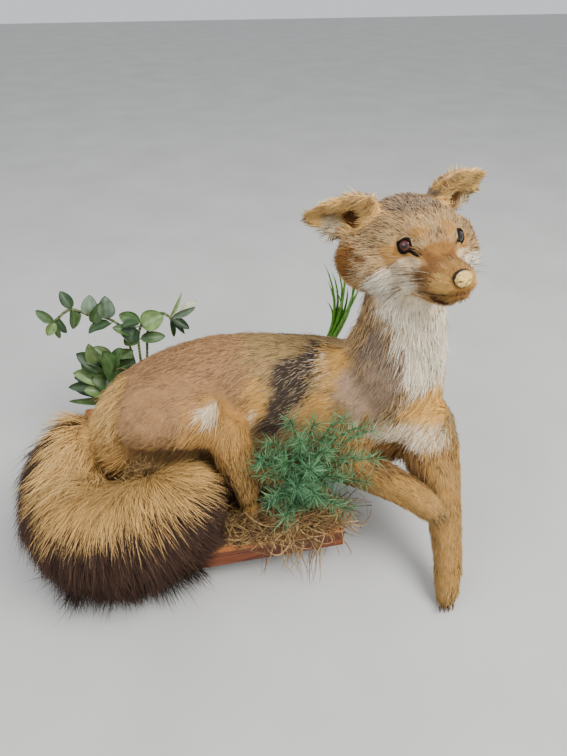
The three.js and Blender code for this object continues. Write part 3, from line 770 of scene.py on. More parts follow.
def refined(mesh):
    """Points and triangles of a mesh, with the face split once more and the eyes twice more."""
    shape = bmesh.new()
    shape.from_mesh(mesh)
    eyes = [from_head(eye_centre(side)) * MM for side in (-1, 1)]
    for reach in (None, *NEAR_EYES):
        shape.verts.ensure_lookup_table()
        spots = np.array([vertex.co for vertex in shape.verts])
        if reach is None:
            head = to_head(spots / MM)
            low, high = FACE
            chosen = ((head > low) & (head < high)).all(axis=1)
        else:
            chosen = np.min([np.linalg.norm(spots - eye, axis=1) for eye in eyes], axis=0) < reach * MM
        edges = [edge for edge in shape.edges if all(chosen[end.index] for end in edge.verts)]
        bmesh.ops.subdivide_edges(shape, edges=edges, cuts=1, use_grid_fill=True)
        shape.verts.index_update()
    bmesh.ops.triangulate(shape, faces=shape.faces)
    points = np.array([vertex.co for vertex in shape.verts]) / MM
    faces = np.array([[corner.index for corner in face.verts] for face in shape.faces])
    shape.free()
    return points, faces


def mean_near(values, pairs, count):
    """Mean of the values at each point's neighbours."""
    degree = np.maximum(np.bincount(pairs[:, 0], minlength=count), 1)
    return gathered(values[pairs[:, 1]], pairs[:, 0], count) / degree[:, None]


def neighbours(faces):
    """Pairs of points that share an edge of a closed surface, once each way."""
    return np.vstack([faces[:, [0, 1]], faces[:, [1, 2]], faces[:, [2, 0]]])


def face_normals(points, faces):
    """Normals of triangles, as long as twice their areas."""
    first, second, third = (points[faces[:, corner]] for corner in range(3))
    return np.cross(second - first, third - first)


def point_normals(points, faces):
    """Normals at points, from the triangles round them by area."""
    flat = np.tile(face_normals(points, faces), (3, 1))
    return unit(gathered(flat, faces.T.ravel(), len(points)))


def out_of_board(points, gap=0.4):
    """Points that lie in the board moved out by the nearest of its top, front and ends.

    Points near or under the floor are raised to the gap.
    """
    low, high = BOARD_LOW - gap, BOARD_HIGH + gap
    depths = np.stack([high[2] - points[:, 2], points[:, 1] - low[1], points[:, 0] - low[0],
                       high[0] - points[:, 0]], axis=1)
    inside = (depths > 0).all(axis=1) & (points[:, 1] < high[1])
    nearest = depths.argmin(axis=1)
    moved = points.copy()
    for index, (axis, wall) in enumerate(((2, high[2]), (1, low[1]), (0, low[0]), (0, high[0]))):
        moved[inside & (nearest == index), axis] = wall
    moved[:, 2] = np.maximum(moved[:, 2], gap)
    return moved


def lid_shape(head):
    """Head points drawn over the eyes: a lid of even thickness round each ball, with an almond opening.

    Within the hold of the lid a point moves along its ray from the ball's centre to the lid's outside,
    or behind the glass where it lies in the opening |up| < height x (1 - (inner / length)^2). Returns
    the points and how far each is from the nearest opening's rim, or from the stain under the right eye.
    """
    moved, rim = head.copy(), np.full(len(head), 99.0)
    for side in (-1, 1):
        centre = eye_centre(side)
        local = (head - centre) @ gaze(side)
        across = np.hypot(local[:, 0], local[:, 1])
        front = local[:, 2] > -2
        ray = unit(local)
        spot = ray * (EYE["radius"] + LID["thick"])
        share = np.clip(1 - (spot[:, 0] / LID["half_long"]) ** 2, 0, 1)
        beyond = np.maximum(np.abs(spot[:, 0]) - LID["half_long"], 0)
        opening = np.abs(spot[:, 1] - 0.3) - LID["half_high"] * share
        opening = np.where(beyond > 0, np.hypot(beyond, opening), opening)
        is_open = (opening < 0) & front
        radius = np.where(is_open, EYE["radius"] - LID["sink"], EYE["radius"] + LID["thick"])
        hold = (1 - ease(LID["hold"], LID["reach"], across)) * front
        target = centre + (ray * radius[:, None]) @ gaze(side).T
        moved = blend(moved, target, hold)
        rim = np.where(front & (across < LID["reach"]), np.minimum(rim, opening), rim)
        if side < 0:
            tear = 3 * np.hypot((local[:, 0] - 10) / 5.2, (local[:, 1] + 2.0) / 2.7) - 1.2
            rim = np.where(front & (across < 1.5 * LID["reach"]), np.minimum(rim, tear), rim)
    return moved, rim


# Bumps and hollows of the head, alike on both sides: amount, place and half axes.
BUMPS = (
    (3.8, (48, 16, 19.5), (10, 9, 4.5)), (-2.2, (54, 0, 10), (9, 9, 12)), (2.6, (73, 15, -11), (10, 6, 7)),
    (-1.8, (58, 18, 3), (8, 7, 5)), (1.8, (40, 32, -6), (12, 7, 8)), (-2.5, (49, 24, -2), (7, 5, 4)),
    (-1.2, (10, 0, 37), (30, 5, 12)), (1.5, (90, 8, -9), (5, 4, 5)), (1.8, (66, 10, 6), (12, 4, 4)),
    (-8.0, (2, 58, -34), (18, 13, 16)),
)


def sculpted(points, normals):
    """Head details as amounts x exp(-distance^2): mouth line, lips, brows, stop and nostril wings."""
    head = to_head(points)
    head[:, 1] = np.abs(head[:, 1])
    line = np.interp(head[:, 0], *np.transpose(MOUTH))
    fade = ease(38, 50, head[:, 0]) * (head[:, 0] < 100)
    push = np.zeros(len(points))
    for amount, above, half in ((-2.4, 0, 1.3), (1.1, 3.6, 2.6), (0.8, -4.2, 2.2)):
        push += amount * fade * bell((head[:, 2] - line - above) / half)
    for amount, centre, half in BUMPS:
        push += amount * bell(*((head - centre) / half).T)
    return points + normals * push[:, None]


# How far the skin of an ear comes forwards at places of the head: hole, inner side and rolled rim.
EAR_FOLDS = (
    (-8, (-11, 51, 26), (7.5, 7.5, 7.5)), (-3, (-20, 67, 24), (8, 12, 7)), (2.6, (-8, 62, 41), (9, 20, 5)),
    (1.5, (-16, 66, 14), (8, 14, 4)),
)


def folded(points, faces):
    """Points with the folds of each ear, where the skin faces forwards: amounts x exp(-distance^2)."""
    normals = point_normals(points, faces)
    head = to_head(points)
    facing = ease(0.1, 0.6, (normals @ HEAD_TURN)[:, 0])
    head[:, 1] = np.abs(head[:, 1])
    for amount, centre, half in EAR_FOLDS:
        points = points + normals * (amount * bell(*((head - centre) / half).T) * facing)[:, None]
    return points


def toes(points):
    """Rise of the toes at the end of each foot: -1.2 cos(2 pi u / toe width) of the place u across it."""
    push = np.zeros(len(points))
    for tip, ahead, aside in CLAWS:
        offset = points - tip - 2 * unit(np.array(ahead, float))
        across = offset @ unit(np.array(aside, float))
        near = np.exp(-((np.linalg.norm(offset, axis=1) / 14) ** 4))
        push -= 1.2 * near * np.cos(2 * np.pi * across / TOE_WIDTH)
    return push


def skin_shape():
    """The one skin: the remeshed forms, smoothed, cleared from the board, with the head sculpted."""
    points, faces = refined(joined_forms())
    pairs = neighbours(faces)
    weights, _ = nearness(points)
    on_head = share_of(weights, *HEAD_FORMS)
    smooth = 0.55 * (1 - 0.45 * on_head) * (1 - share_of(weights, "ear_right", "ear_left"))
    for _ in range(SMOOTHING):
        points = blend(points, mean_near(points, pairs, len(points)), smooth)
    head = ease(18, 34, to_head(points)[:, 0]) * on_head
    points = blend(points, sculpted(points, point_normals(points, faces)), head)
    lidded, rim = lid_shape(to_head(points))
    points = folded(from_head(lidded), faces)
    points = out_of_board(points)
    points = points + point_normals(points, faces) * toes(points)[:, None]
    ripple = 0.5 * noise(points, 13, 5) + 0.25 * noise(points, 6, 6)
    points = points + point_normals(points, faces) * (ripple * (1 - on_head))[:, None]
    return points, faces, rim


def unwrapped(points, faces):
    """Place of each triangle's corners on an unwrap of the skin's own shape."""
    mesh = mesh_of("unwrap", points, [faces])
    mesh.uv_layers.new(name="OFBake")
    work = added("unwrap", mesh)
    bpy.context.view_layer.objects.active = work
    work.select_set(True)
    bpy.ops.object.mode_set(mode="EDIT")
    bpy.ops.mesh.select_all(action="SELECT")
    bpy.ops.uv.smart_project(angle_limit=np.radians(60), island_margin=0.002)
    bpy.ops.object.mode_set(mode="OBJECT")
    spots = np.empty(2 * len(mesh.loops), np.float32)
    mesh.uv_layers["OFBake"].uv.foreach_get("vector", spots)
    bpy.data.objects.remove(work)
    return spots.reshape(-1, 3, 2)


def coat_tones(part):
    """Linear colours of all coats at one part of the hair."""
    return linear([getattr(coat, part) for coat in COATS.values()])


def skin():
    """Builds the skin as a piece, and returns what the coat needs to know of it."""
    points, faces, rim = skin_shape()
    weights, ways = nearness(points)
    shares = paint(points, weights)
    normals = point_normals(points, faces)
    spots = unwrapped(points, faces)
    tone = shares @ (0.45 * coat_tones("root") + 0.55 * coat_tones("middle")) * weather(points)
    tone = blend(tone, linear((0.05, 0.045, 0.04)), 1 - ease(1.5, 2.7, rim))
    mesh = mesh_of("fox_skin", points, [faces], colours=tone)
    layer = mesh.uv_layers.new(name="OFBake")
    layer.uv.foreach_set("vector", spots.ravel())
    piece("fox_skin", mesh, hide_finish(), "coat", *FLESH)
    pairs = neighbours(faces)
    for _ in range(6):
        ways = 0.5 * ways + 0.5 * mean_near(ways, pairs, len(points))
    bald = ease(1.8, 3.0, rim)
    return Skin(points, faces, normals, weights, ways, shares * bald[:, None], spots)


def hide_finish():
    """Dry, faded hide with a fine grain, in the colours painted on it."""
    hide = tinted("dry_hide", 160.0, 5.0, (0.86, 0.85, 0.84), Roughness=0.85, Specular_IOR_Level=0.12)
    grain = hide.cloud(900.0, 3.0)
    hide.bump(grain, 0.0006, 0.6)
    hide.rough(grain * 0.15 + 0.75)
    return hide


# ---- Coat ------------------------------------------------------------------------------------

THIRDS = np.radians([90, 210, 330])


def spikes(paths, widths, lateral, raised):
    """Closed, tapered, three-sided spikes along paths of points, with a point at the tip.

    Each ring is centre + half width x (cos a lateral + 0.6 sin a raised) at three angles a.
    """
    count, rings = paths.shape[0], paths.shape[1] - 1
    ring = spokes(THIRDS, lateral, 0.6 * raised)
    walls = paths[:, :-1, None] + widths[..., None, None] / 2 * ring[:, None]
    points = np.concatenate([walls.reshape(count, -1, 3), paths[:, -1:]], axis=1)
    first = np.arange(rings - 1)[:, None] * 3
    side, after = np.arange(3), (np.arange(3) + 1) % 3
    quads = np.stack([first + side, first + after, first + after + 3, first + side + 3], -1).reshape(-1, 4)
    last = 3 * (rings - 1)
    tips = np.stack([last + side, last + after, np.full(3, 3 * rings)], -1)
    ends = np.vstack([tips, [[2, 1, 0]]])
    return points, [copies(part, count, 3 * rings + 1) for part in (quads, ends)]


def roots(skin, rng):
    """Random roots, evenly spread by area and closeness: triangle and the shares of its corners."""
    dense = skin.weights @ [form.dense for form in FORMS.values()]
    dense = dense * (skin.coats @ [coat.dense for coat in COATS.values()])
    buried = (skin.points[:, 2] < BOARD_TOP + 1.5) & (skin.normals[:, 2] < -0.2)
    buried &= (np.abs(skin.points[:, 0]) < BOARD_HIGH[0]) & (skin.points[:, 1] > BOARD_LOW[1])
    dense = np.where(buried, 0, dense)  # none where the body lies on the board
    area = np.linalg.norm(face_normals(skin.points, skin.faces), axis=1) / 2
    share = np.cumsum(area * dense[skin.faces].mean(axis=1))
    count = int(share[-1])
    face = np.searchsorted(share, (np.arange(count) + rng.random(count)) / count * share[-1])
    face = np.minimum(face, len(skin.faces) - 1)
    first, second = np.sqrt(rng.random(count)), rng.random(count)
    corners = np.stack([1 - first, first * (1 - second), first * second], axis=1)
    return face, corners


def tufts(skin, rng):
    """Everything about each tuft: root, directions, length, width, coat and place on the unwrap."""
    face, corners = roots(skin, rng)

    def at(values):
        return np.einsum("nc,nc...->n...", corners, values[skin.faces[face]])

    root, normal, way, weights = at(skin.points), unit(at(skin.normals)), at(skin.ways), at(skin.weights)
    count = len(root)
    flat = unit(way - normal * (way * normal).sum(axis=1, keepdims=True))
    lateral = np.cross(normal, flat)
    # The hair swirls a little to either side.
    swing = 0.30 * noise(root, 16, 11) + 0.16 * noise(root, 5, 12) + 0.10 * rng.standard_normal(count)
    flat = flat * np.cos(swing)[:, None] + lateral * np.sin(swing)[:, None]
    lateral = np.cross(normal, flat)
    sizes = weights @ np.array([form.hair for form in FORMS.values()])
    shares = np.cumsum(at(skin.coats), axis=1)
    coat = (shares < rng.random(count)[:, None] * shares[:, -1:]).sum(axis=1)
    coat = np.minimum(coat, len(COATS) - 1)
    habit = np.array([[kind.long, kind.flecks, kind.rise] for kind in COATS.values()])[coat]
    long, flecks, rise = habit.T
    length = sizes[:, 0] * long * (0.75 + 0.5 * rng.random(count)) * (1 + 0.2 * noise(root, 9, 13))
    width = sizes[:, 1] * (0.8 + 0.4 * rng.random(count)) * (0.6 + 0.4 * long)
    lift = np.radians(sizes[:, 2] * (0.6 + 0.8 * rng.random(count))) * (1 + 0.4 * noise(root, 12, 14))
    lift = lift * rise * np.where(rng.random(count) < 0.06, 2.2, 1)  # a few stand up
    length = length * (1 - 0.5 * share_of(weights, "tail") * ease(-25, 30, root[:, 0]))
    spot = np.einsum("nc,nck->nk", corners, skin.map[face])
    return {
        "root": root, "normal": normal, "flat": flat, "lateral": lateral, "length": length,
        "width": width, "lift": lift, "coat": coat, "fleck": rng.random(count) < flecks,
        "spot": spot, "form": weights.argmax(axis=1), "shade": rng.standard_normal(count),
        "stray": rng.standard_normal((count, 3)),
    }


def clumps(root, size):
    """Middle of the tufts that share a cell of a lattice with each tuft."""
    ragged = 0.35 * np.stack([noise(root, size * 2, seed) for seed in (21, 22, 23)], axis=1)
    cell = np.floor(root / size + ragged).astype(int)
    _, group, number = np.unique(cell, axis=0, return_inverse=True, return_counts=True)
    group = group.ravel()
    return (gathered(root, group, len(number)) / number[:, None])[group]


def tuft_paths(hair, shares):
    """Middle lines of tufts: root + length x (s rise + s^2 bend), where the bend lays the tuft down.

    rise = cos(lift) flat + sin(lift) normal; the bend turns most of the lift back, sags a little and
    draws the tip towards the middle of its clump.
    """
    lift, length = hair["lift"][:, None], hair["length"][:, None]
    rise = np.cos(lift) * hair["flat"] + np.sin(lift) * hair["normal"]
    gather = (clumps(hair["root"], 6.0) - hair["root"]) / length
    sag = np.array([0, 0, -0.10])
    bend = -0.6 * np.sin(lift) * hair["normal"] + 0.3 * gather + sag + 0.08 * hair["stray"]
    s = np.asarray(shares)[None, :, None]
    root = hair["root"] - (0.1 + 0.04 * length) * hair["normal"]
    paths = root[:, None] + length[:, None] * (s * rise[:, None] + s * s * bend[:, None])
    return out_of_board(paths.reshape(-1, 3), 0.6).reshape(paths.shape)


def tuft_tones(hair, steps):
    """Colours along each tuft: root, middle and tip of its coat, its own shade, and flecks."""
    stops = np.stack([coat_tones(part) for part in ("root", "middle", "tip")])[:, hair["coat"]]
    fleck = coat_tones("fleck")[hair["coat"]]
    stops[1] = np.where(hair["fleck"][:, None], fleck, stops[1])
    stops[2] = np.where(hair["fleck"][:, None], 0.5 * (fleck + stops[2]), stops[2])
    shade = np.exp(0.15 * hair["shade"])[:, None] * weather(hair["root"])
    tones = []
    for step in steps:
        share = 2 * step
        low = int(min(share, 1))
        tones.append((stops[low] + (stops[low + 1] - stops[low]) * (share - low)) * shade)
    return np.stack(tones, axis=1)


COAT_PIECES = (
    ("coat_crown", ("cranium",), 1),
    ("coat_face", ("muzzle", "jaw"), 1),
    ("coat_cheeks", ("cheek_right", "cheek_left"), 1),
    ("coat_ears", ("ear_right", "ear_left"), 1),
    ("coat_neck", ("neck",), 2),
    ("coat_trunk", ("trunk",), 3),
    ("coat_tail", ("tail",), 3),
    ("coat_haunch",
     ("thigh_right", "thigh_left", "shank_right", "shank_left", "foot_right", "foot_left"), 1),
    ("coat_forelegs", ("foreleg_left", "foreleg_right", "upper_foreleg_right"), 1),
)
# Longest tuft of a kind, places of its rings and their widths.
KINDS = (
    (9.5, (0, 1), (1,)),
    (34, (0, 0.5, 1), (1, 0.8)),
    (99, (0, 0.33, 0.68, 1), (1, 0.95, 0.6)),
)
SOFT = 0.78  # how far the shading of a tuft is drawn to that of the skin under it
PATCH = 0.0015  # half width of a tuft's patch on the unwrap


def coat(skin):
    """Builds the coat as joined tufts, one group of pieces for each part of the body."""
    hair = tufts(skin, np.random.default_rng(7))
    finish = tinted("fox_hair", 420.0, 3.0, (0.88, 0.87, 0.86), (0.25, 0.75), (0.2, 0.55),
                    Roughness=0.62, Specular_IOR_Level=0.15)
    for name, members, parts in COAT_PIECES:
        chosen = np.flatnonzero(np.isin(hair["form"], [NAMES.index(member) for member in members]))
        chosen = chosen[np.argsort(hair["root"][chosen, 0], kind="stable")]
        for number, part in enumerate(np.array_split(chosen, parts)):
            label = name if parts == 1 else f"{name}_{number + 1}"
            coat_piece(label, {key: values[part] for key, values in hair.items()}, finish)


def coat_piece(label, hair, finish):
    """One piece of coat: short tufts are plain cones, longer ones bend over two or three rings.

    The shading normal at a ring point is unit((1 - SOFT) x outwards from the tuft + SOFT x skin normal).
    """
    kind = np.digitize(hair["length"], [limit for limit, _, _ in KINDS[:-1]])
    points, tones, spots, normals, faces, start = [], [], [], [], [], 0
    for index, (_, steps, taper) in enumerate(KINDS):
        own = {key: values[kind == index] for key, values in hair.items()}
        count, rings = len(own["length"]), len(taper)
        if count == 0:
            continue
        paths = tuft_paths(own, steps)
        walls, parts = spikes(paths, own["width"][:, None] * taper, own["lateral"], own["normal"])
        shades = tuft_tones(own, steps)
        shades = np.concatenate([np.repeat(shades[:, :-1], 3, axis=1), shades[:, -1:]], axis=1)
        patch = PATCH * np.stack([np.cos(THIRDS), np.sin(THIRDS)], axis=1)
        patch = np.vstack([patch * shrink for shrink in np.linspace(1, 0.6, rings)] + [[[0, 0]]])
        outward = np.tile(spokes(THIRDS, own["lateral"], own["normal"]), (1, rings, 1))
        outward = np.concatenate([outward, own["normal"][:, None]], axis=1)
        points.append(walls.reshape(-1, 3))
        tones.append(shades.reshape(-1, 3))
        spots.append((own["spot"][:, None] + patch).reshape(-1, 2))
        normals.append(unit((1 - SOFT) * outward + SOFT * own["normal"][:, None]).reshape(-1, 3))
        faces += [part + start for part in parts if len(part)]
        start += len(points[-1])
    mesh = mesh_of(label, np.vstack(points), faces, np.vstack(tones), np.vstack(spots))
    mesh.normals_split_custom_set_from_vertices(np.vstack(normals))
    piece(label, mesh, finish, "coat")


# ---- Eyes, nose, whiskers and claws ----------------------------------------------------------

def ball_grid(rings, sides):
    """Unit ball as a tube between two poles on its x axis: polar angle from the first, turn and points."""
    polar = np.r_[0, np.repeat(np.linspace(0, np.pi, rings)[1:-1], sides), np.pi]
    turn = np.r_[0, np.tile(np.linspace(0, 2 * np.pi, sides, endpoint=False), rings - 2), 0]
    points = np.stack([np.cos(polar), np.sin(polar) * np.cos(turn), np.sin(polar) * np.sin(turn)], axis=1)
    return polar, turn, points


EYE_GRID, PAD_GRID = (48, 64), (60, 80)  # rings and sides
# Deep and bright colour of the iris, by side.
IRIS = {-1: ((0.20, 0.08, 0.05), (0.42, 0.19, 0.13)), 1: ((0.10, 0.09, 0.08), (0.22, 0.20, 0.19))}


def eyes():
    """Glass eyes: a ball whose front swells a little over the iris.

    Radius = eye radius x (1 + 0.05 exp(-(polar / 0.5)^2)); the tones follow the polar angle from an
    upright pupil through a rayed iris to the dark rim.
    """
    glass = tinted("eye_glass", 900.0, 3.0, (0.72, 0.7, 0.7), Roughness=0.05, Coat_Weight=0.5, IOR=1.4)
    for side, name in ((-1, "right"), (1, "left")):
        polar, turn, ball = ball_grid(*EYE_GRID)
        swell = EYE["radius"] * (1 + 0.05 * bell(polar / 0.5))
        axes = gaze(side)[:, [2, 0, 1]]
        points = from_head(eye_centre(side) + (ball * swell[:, None]) @ axes.T)
        deep, bright = linear(IRIS[side])
        rays = 0.5 + 0.5 * np.sin(23 * turn + 3 * np.sin(5 * turn))
        share = ease(0.2, 0.62, polar) * (0.55 + 0.45 * rays)
        tone = blend(deep, bright, share)
        pupil = np.hypot(ball[:, 1] / 0.16, ball[:, 2] / 0.26)
        dark = np.maximum(1 - ease(0.85, 1.1, pupil), ease(0.62, 0.8, polar))
        tone = tone * (1 - 0.95 * dark[:, None])
        mesh = mesh_of(f"glass_eye_{name}", points, tube_faces(*EYE_GRID), tone)
        piece(f"glass_eye_{name}", mesh, glass, "glass_eye", f"eye_{name}")


PAD = (5.6, 7.7, 7.3)  # half axes of the nose
FILLER = linear(((0.96, 0.82, 0.48), (0.62, 0.48, 0.28), (0.10, 0.07, 0.05), (0.74, 0.54, 0.24)))


def nose():
    """Nose of cream filler: a ball flattened in front, with two nostrils, a parting and broken edges.

    A nostril is a dent of exp(-distance^2) round its place on the front, and the parting a dent along
    the middle of the lower half.
    """
    polar, _, ball = ball_grid(*PAD_GRID)
    flat = ball * (1 - 0.10 * bell(polar / 0.7))[:, None]
    ahead, aside, up = ball.T
    front = ease(0.0, 0.4, ahead)
    nostril = bell((np.abs(aside) - 0.56) / 0.20, (up + 0.22) / 0.15) * front
    parting = bell((aside - 0.3 * (up + 0.9)) / 0.08) * ease(0.0, -0.4, up) * front
    rough = 0.04 * noise(ball, 0.33, 41) + 0.03 * noise(ball, 0.12, 42)
    flat = flat * (1 - 0.30 * nostril - 0.10 * parting + rough)[:, None]
    points = from_head(flat * PAD + (NOSE["forward"], 0, NOSE["up"]))
    cream, stain, dark, gold = FILLER
    edge = ease(0.75, 0.25, ahead + 0.35 * noise(ball, 0.25, 43))
    flake = ease(0.45, 0.75, 0.5 * aside + 0.6 * up + 0.35 * noise(ball, 0.3, 44))
    # The nostrils and the parting are painted near black: painted shade in their dents.
    black = np.clip(nostril * 1.2 + 0.9 * parting + ease(0.42, 0.25, ahead), 0, 1)
    tone = blend(blend(cream, stain, 0.75 * edge), gold, 0.8 * flake)
    mesh = mesh_of("nose_of_filler", points, tube_faces(*PAD_GRID), blend(tone, dark, black**1.5))
    filler = tinted("nose_filler", 700.0, 6.0, (0.82, 0.79, 0.72), (0.3, 0.65), (0.3, 0.35), (0.0012, 0.7),
                    Roughness=0.5)
    piece("nose_of_filler", mesh, filler, "nose_filler", "nose_pad")


def bent_spikes(name, start, end, sag, width, tones, finish, slot, steps=8, nodes=(), side=(0, 0, 1),
                clear=False):
    """Piece of curved spikes from start points to end points, bowed by a sag vector each.

    Point at s = start + s (end - start) + 4 s (1 - s) sag; the width falls with 1 - s^2. Where `clear`
    is set, points that would be in the board are moved out of it.
    """
    s = np.linspace(0, 1, steps)
    along = unit(end - start)
    lateral = unit(np.cross(along, np.asarray(side) + 0.01))
    taper = 0.25 + 0.75 * (1 - s[:-1] ** 2)
    s, start, end, sag = s[None, :, None], start[:, None], end[:, None], sag[:, None]
    paths = start + s * (end - start) + 4 * s * (1 - s) * sag
    points, faces = spikes(paths, np.asarray(width)[:, None] * taper, lateral, np.cross(lateral, along))
    tones = np.repeat(tones, points.shape[1], axis=0)
    points = points.reshape(-1, 3)
    if clear:
        points = out_of_board(points, 0.5)
    piece(name, mesh_of(name, points, faces, tones), finish, slot, *nodes)


def whiskers(finish):
    """Whiskers of both sides, swept back and down over the cheek."""
    rng = np.random.default_rng(11)
    side, row, place = np.array(list(np.ndindex(2, 3, 4)), float).T
    side = 2 * side - 1
    reach = 52 - 5 * place
    start = np.stack([62 + 4 * place, side * (19.5 - 0.7 * place), -5 - 3.6 * row], axis=1)
    end = np.stack([62 - 0.72 * reach, side * (30 + 6 * row + 0.45 * reach), -16 - 7 * row], axis=1)
    start = start + rng.normal(0, 0.5, start.shape)
    end = end + rng.normal(0, 3.0, end.shape)
    sag = (3.0, 0, 3.0) + rng.normal(0, 1, end.shape)
    tones = linear(np.where(rng.random((len(start), 1)) < 0.7, (0.20, 0.15, 0.12), (0.75, 0.70, 0.60)))
    bent_spikes("whiskers", from_head(start), from_head(end), sag @ HEAD_TURN.T,
                np.full(len(start), 0.5), tones, finish, "coat")


# Tip of each foot, the way it points and the way across it.
CLAWS = (
    ((219, -191, 9), (-0.25, -0.8, -0.5), (1, 0, 0)),
    ((209, -157, 104), (0.35, -0.75, -0.55), (0.9, 0.45, 0)),
    ((49, -100, 63), (0.1, -0.9, -0.4), (1, 0, 0)),
    ((77, 100, 62), (0.9, 0.3, -0.3), (0, 1, 0)),
)
TOE_WIDTH = 4.4
CLAW = {"length": 5.5, "width": 2.8, "drop": 1.5}


def claws():
    """Four curved claws at the end of each foot, side by side."""
    horn = grained("claw_horn", (0.12, 0.09, 0.07), (0.36, 0.28, 0.20), 1500.0, 2.0, (1, 1, 0.2),
                   Roughness=0.35)
    place = np.array([-1.5, -0.5, 0.5, 1.5])[:, None]
    start, end = [], []
    for tip, ahead, aside in CLAWS:
        ahead, aside = unit(np.array(ahead, float)), unit(np.array(aside, float))
        start.append(tip + TOE_WIDTH * place * aside - (1 + 0.9 * np.abs(place)) * ahead)
        end.append(start[-1] + CLAW["length"] * ahead + (0, 0, -CLAW["drop"]))
    start, end = np.vstack(start), np.vstack(end)
    end[:, 2] = np.maximum(end[:, 2], 1.0)
    bow = np.full(start.shape, (0, 0, 1.6))
    tones = np.full(start.shape, linear((0.2, 0.15, 0.1)))
    bent_spikes("claws", start, end, bow, np.full(len(start), CLAW["width"]), tones, horn, "coat")


# ---- Board -----------------------------------------------------------------------------------

TOP_BAND_DEPTH = 0.0065  # in metres under the upper edge
NO_TOP_BAND = 1.0  # an upper edge in metres, far above the piece


def wood(name, top, deep, light, top_tone):
    """Stained wood with grain along X, paler in patches on its top face and in a band under its upper edge.
    """
    plank = Finish(name, Roughness=0.5, Specular_IOR_Level=0.3)
    rings = plank.cloud(3.0, 8.0, (2.2, 26, 26), Roughness=0.6, Distortion=0.6)
    fibre = plank.cloud(3.0, 4.0, (9, 210, 210))
    patch = plank.cloud(2.0, 5.0, (14, 60, 60))
    stain = plank.ramp(rings, [(0.32, deep), (0.5, light), (0.62, deep), (0.75, light)])
    dust = plank.ramp(fibre, [(0.3, (0.72, 0.68, 0.64)), (0.65, (1, 1, 1))])
    body = plank.mix(1.0, stain, dust, "MULTIPLY")
    height = plank.node("SeparateXYZ", {}, {"Vector": plank.place()}, "Z")
    edge = (height - (top - TOP_BAND_DEPTH)) * 200.0 + (patch - 0.5) * 1.6
    top_share = plank.node("Clamp", {}, {"Value": edge})
    plank.colour(plank.mix(top_share * 0.75, body, (*linear(top_tone), 1)))
    plank.rough(fibre * 0.35 + 0.3)
    plank.bump(fibre * 0.7 + rings * 0.3, 0.0009, 0.8)
    return plank.material


def mount():
    """Finishes of the board and the plinth under it, whose shapes are the frame's own."""
    stained = wood("stained_board", BOARD_TOP * MM, (0.33, 0.14, 0.05), (0.54, 0.27, 0.10),
                   (0.70, 0.42, 0.18))
    under = wood("plinth_wood", NO_TOP_BAND, (0.16, 0.09, 0.05), (0.26, 0.15, 0.09), (0.3, 0.2, 0.12))
    for node, material in (("board", stained), ("plinth", under)):
        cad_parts[node].material_slots[0].material = material


# ---- Dried grass and plants ------------------------------------------------------------------

def straw_finish():
    """Dry straw in the colours painted on it."""
    return tinted("dry_straw", 300.0, 4.0, (0.72, 0.70, 0.66), rough=(0.3, 0.5), Roughness=0.7)


def tangle(rng, count, middle, half, length, rise):
    """Random straws in a low heap: start, end and bow of each.

    Their middles fill an oval heap whose height falls with the square of the distance from its middle.
    """
    turn, far = rng.uniform(0, 2 * np.pi, count), np.sqrt(rng.random(count))
    high = (1 - far**2) * rng.random(count)
    spot = middle + half * np.stack([far * np.cos(turn), far * np.sin(turn), high], axis=1)
    heading = rng.uniform(0, 2 * np.pi, count)
    reach = length * rng.uniform(0.5, 1.2, count)[:, None]
    steep = rise * rng.normal(0, 1, count)
    half_way = np.stack([np.cos(heading), 0.8 * np.sin(heading), steep], axis=1) * reach / 2
    bow = rng.normal(0, 0.16, (count, 3)) * reach * (1, 1, 0.4)
    return spot - half_way, spot + half_way, bow


HEAPS = (
    # how many, middle, half axes, length of a straw, how steep
    (620, (80, -94, 58), (70, 24, 12), 50, 0.12),
    (150, (96, -104, 60), (44, 14, 12), 40, 0.22),
    (170, (46, -98, 60), (24, 16, 18), 38, 0.35),
    (70, (30, -60, 58), (26, 22, 10), 34, 0.15),
    (130, (66, -66, 59), (32, 18, 14), 38, 0.3),
    (120, (-52, -62, 112), (15, 7, 18), 24, 0.8),
)
HANGING = (
    # top and bottom of loose straws that hang over the front edge
    ((108, -114, 62), (96, -142, 12)), ((112, -116, 64), (104, -140, 22)),
    ((100, -112, 62), (78, -136, 26)), ((88, -112, 60), (70, -134, 28)),
    ((122, -112, 64), (132, -132, 38)), ((82, -116, 60), (92, -130, 30)),
    ((96, -116, 62), (112, -138, 30)), ((60, -112, 62), (46, -138, 30)),
    ((128, -108, 62), (150, -122, 48)), ((72, -114, 60), (84, -136, 22)),
    ((116, -116, 60), (98, -134, 34)), ((104, -116, 62), (100, -146, 8)),
    ((140, -104, 62), (166, -116, 56)), ((90, -118, 60), (66, -128, 40)),
    ((84, -116, 62), (88, -140, 18)),
)


def dried_grass():
    """Heap of dried grass at the front of the board, with loose straws over its edge."""
    rng = np.random.default_rng(23)
    parts = [tangle(rng, *(np.array(value) for value in heap)) for heap in HEAPS]
    hanging = np.repeat(np.array(HANGING, float), 3, axis=0)
    hanging += rng.normal(0, 4, hanging.shape) * (1, 0.4, 0.7)
    hanging[:, 0, 2] = np.maximum(hanging[:, 0, 2], BOARD_TOP + 2)
    bow = rng.normal(0, 4, (len(hanging), 3)) + (0, -3, 3)
    parts.append((hanging[:, 0], hanging[:, 1], bow))
    start, end, bow = (np.vstack(part) for part in zip(*parts))
    start[:, 2] = np.maximum(start[:, 2], 1.0)
    tones = linear(blend((0.44, 0.31, 0.17), (0.84, 0.70, 0.46), rng.random(len(start))))
    width = rng.uniform(0.8, 1.6, len(start))
    bent_spikes("dried_grass_straws", start, end, bow, width, tones, straw_finish(), "dry_straw",
                nodes=("dried_grass",), clear=True)


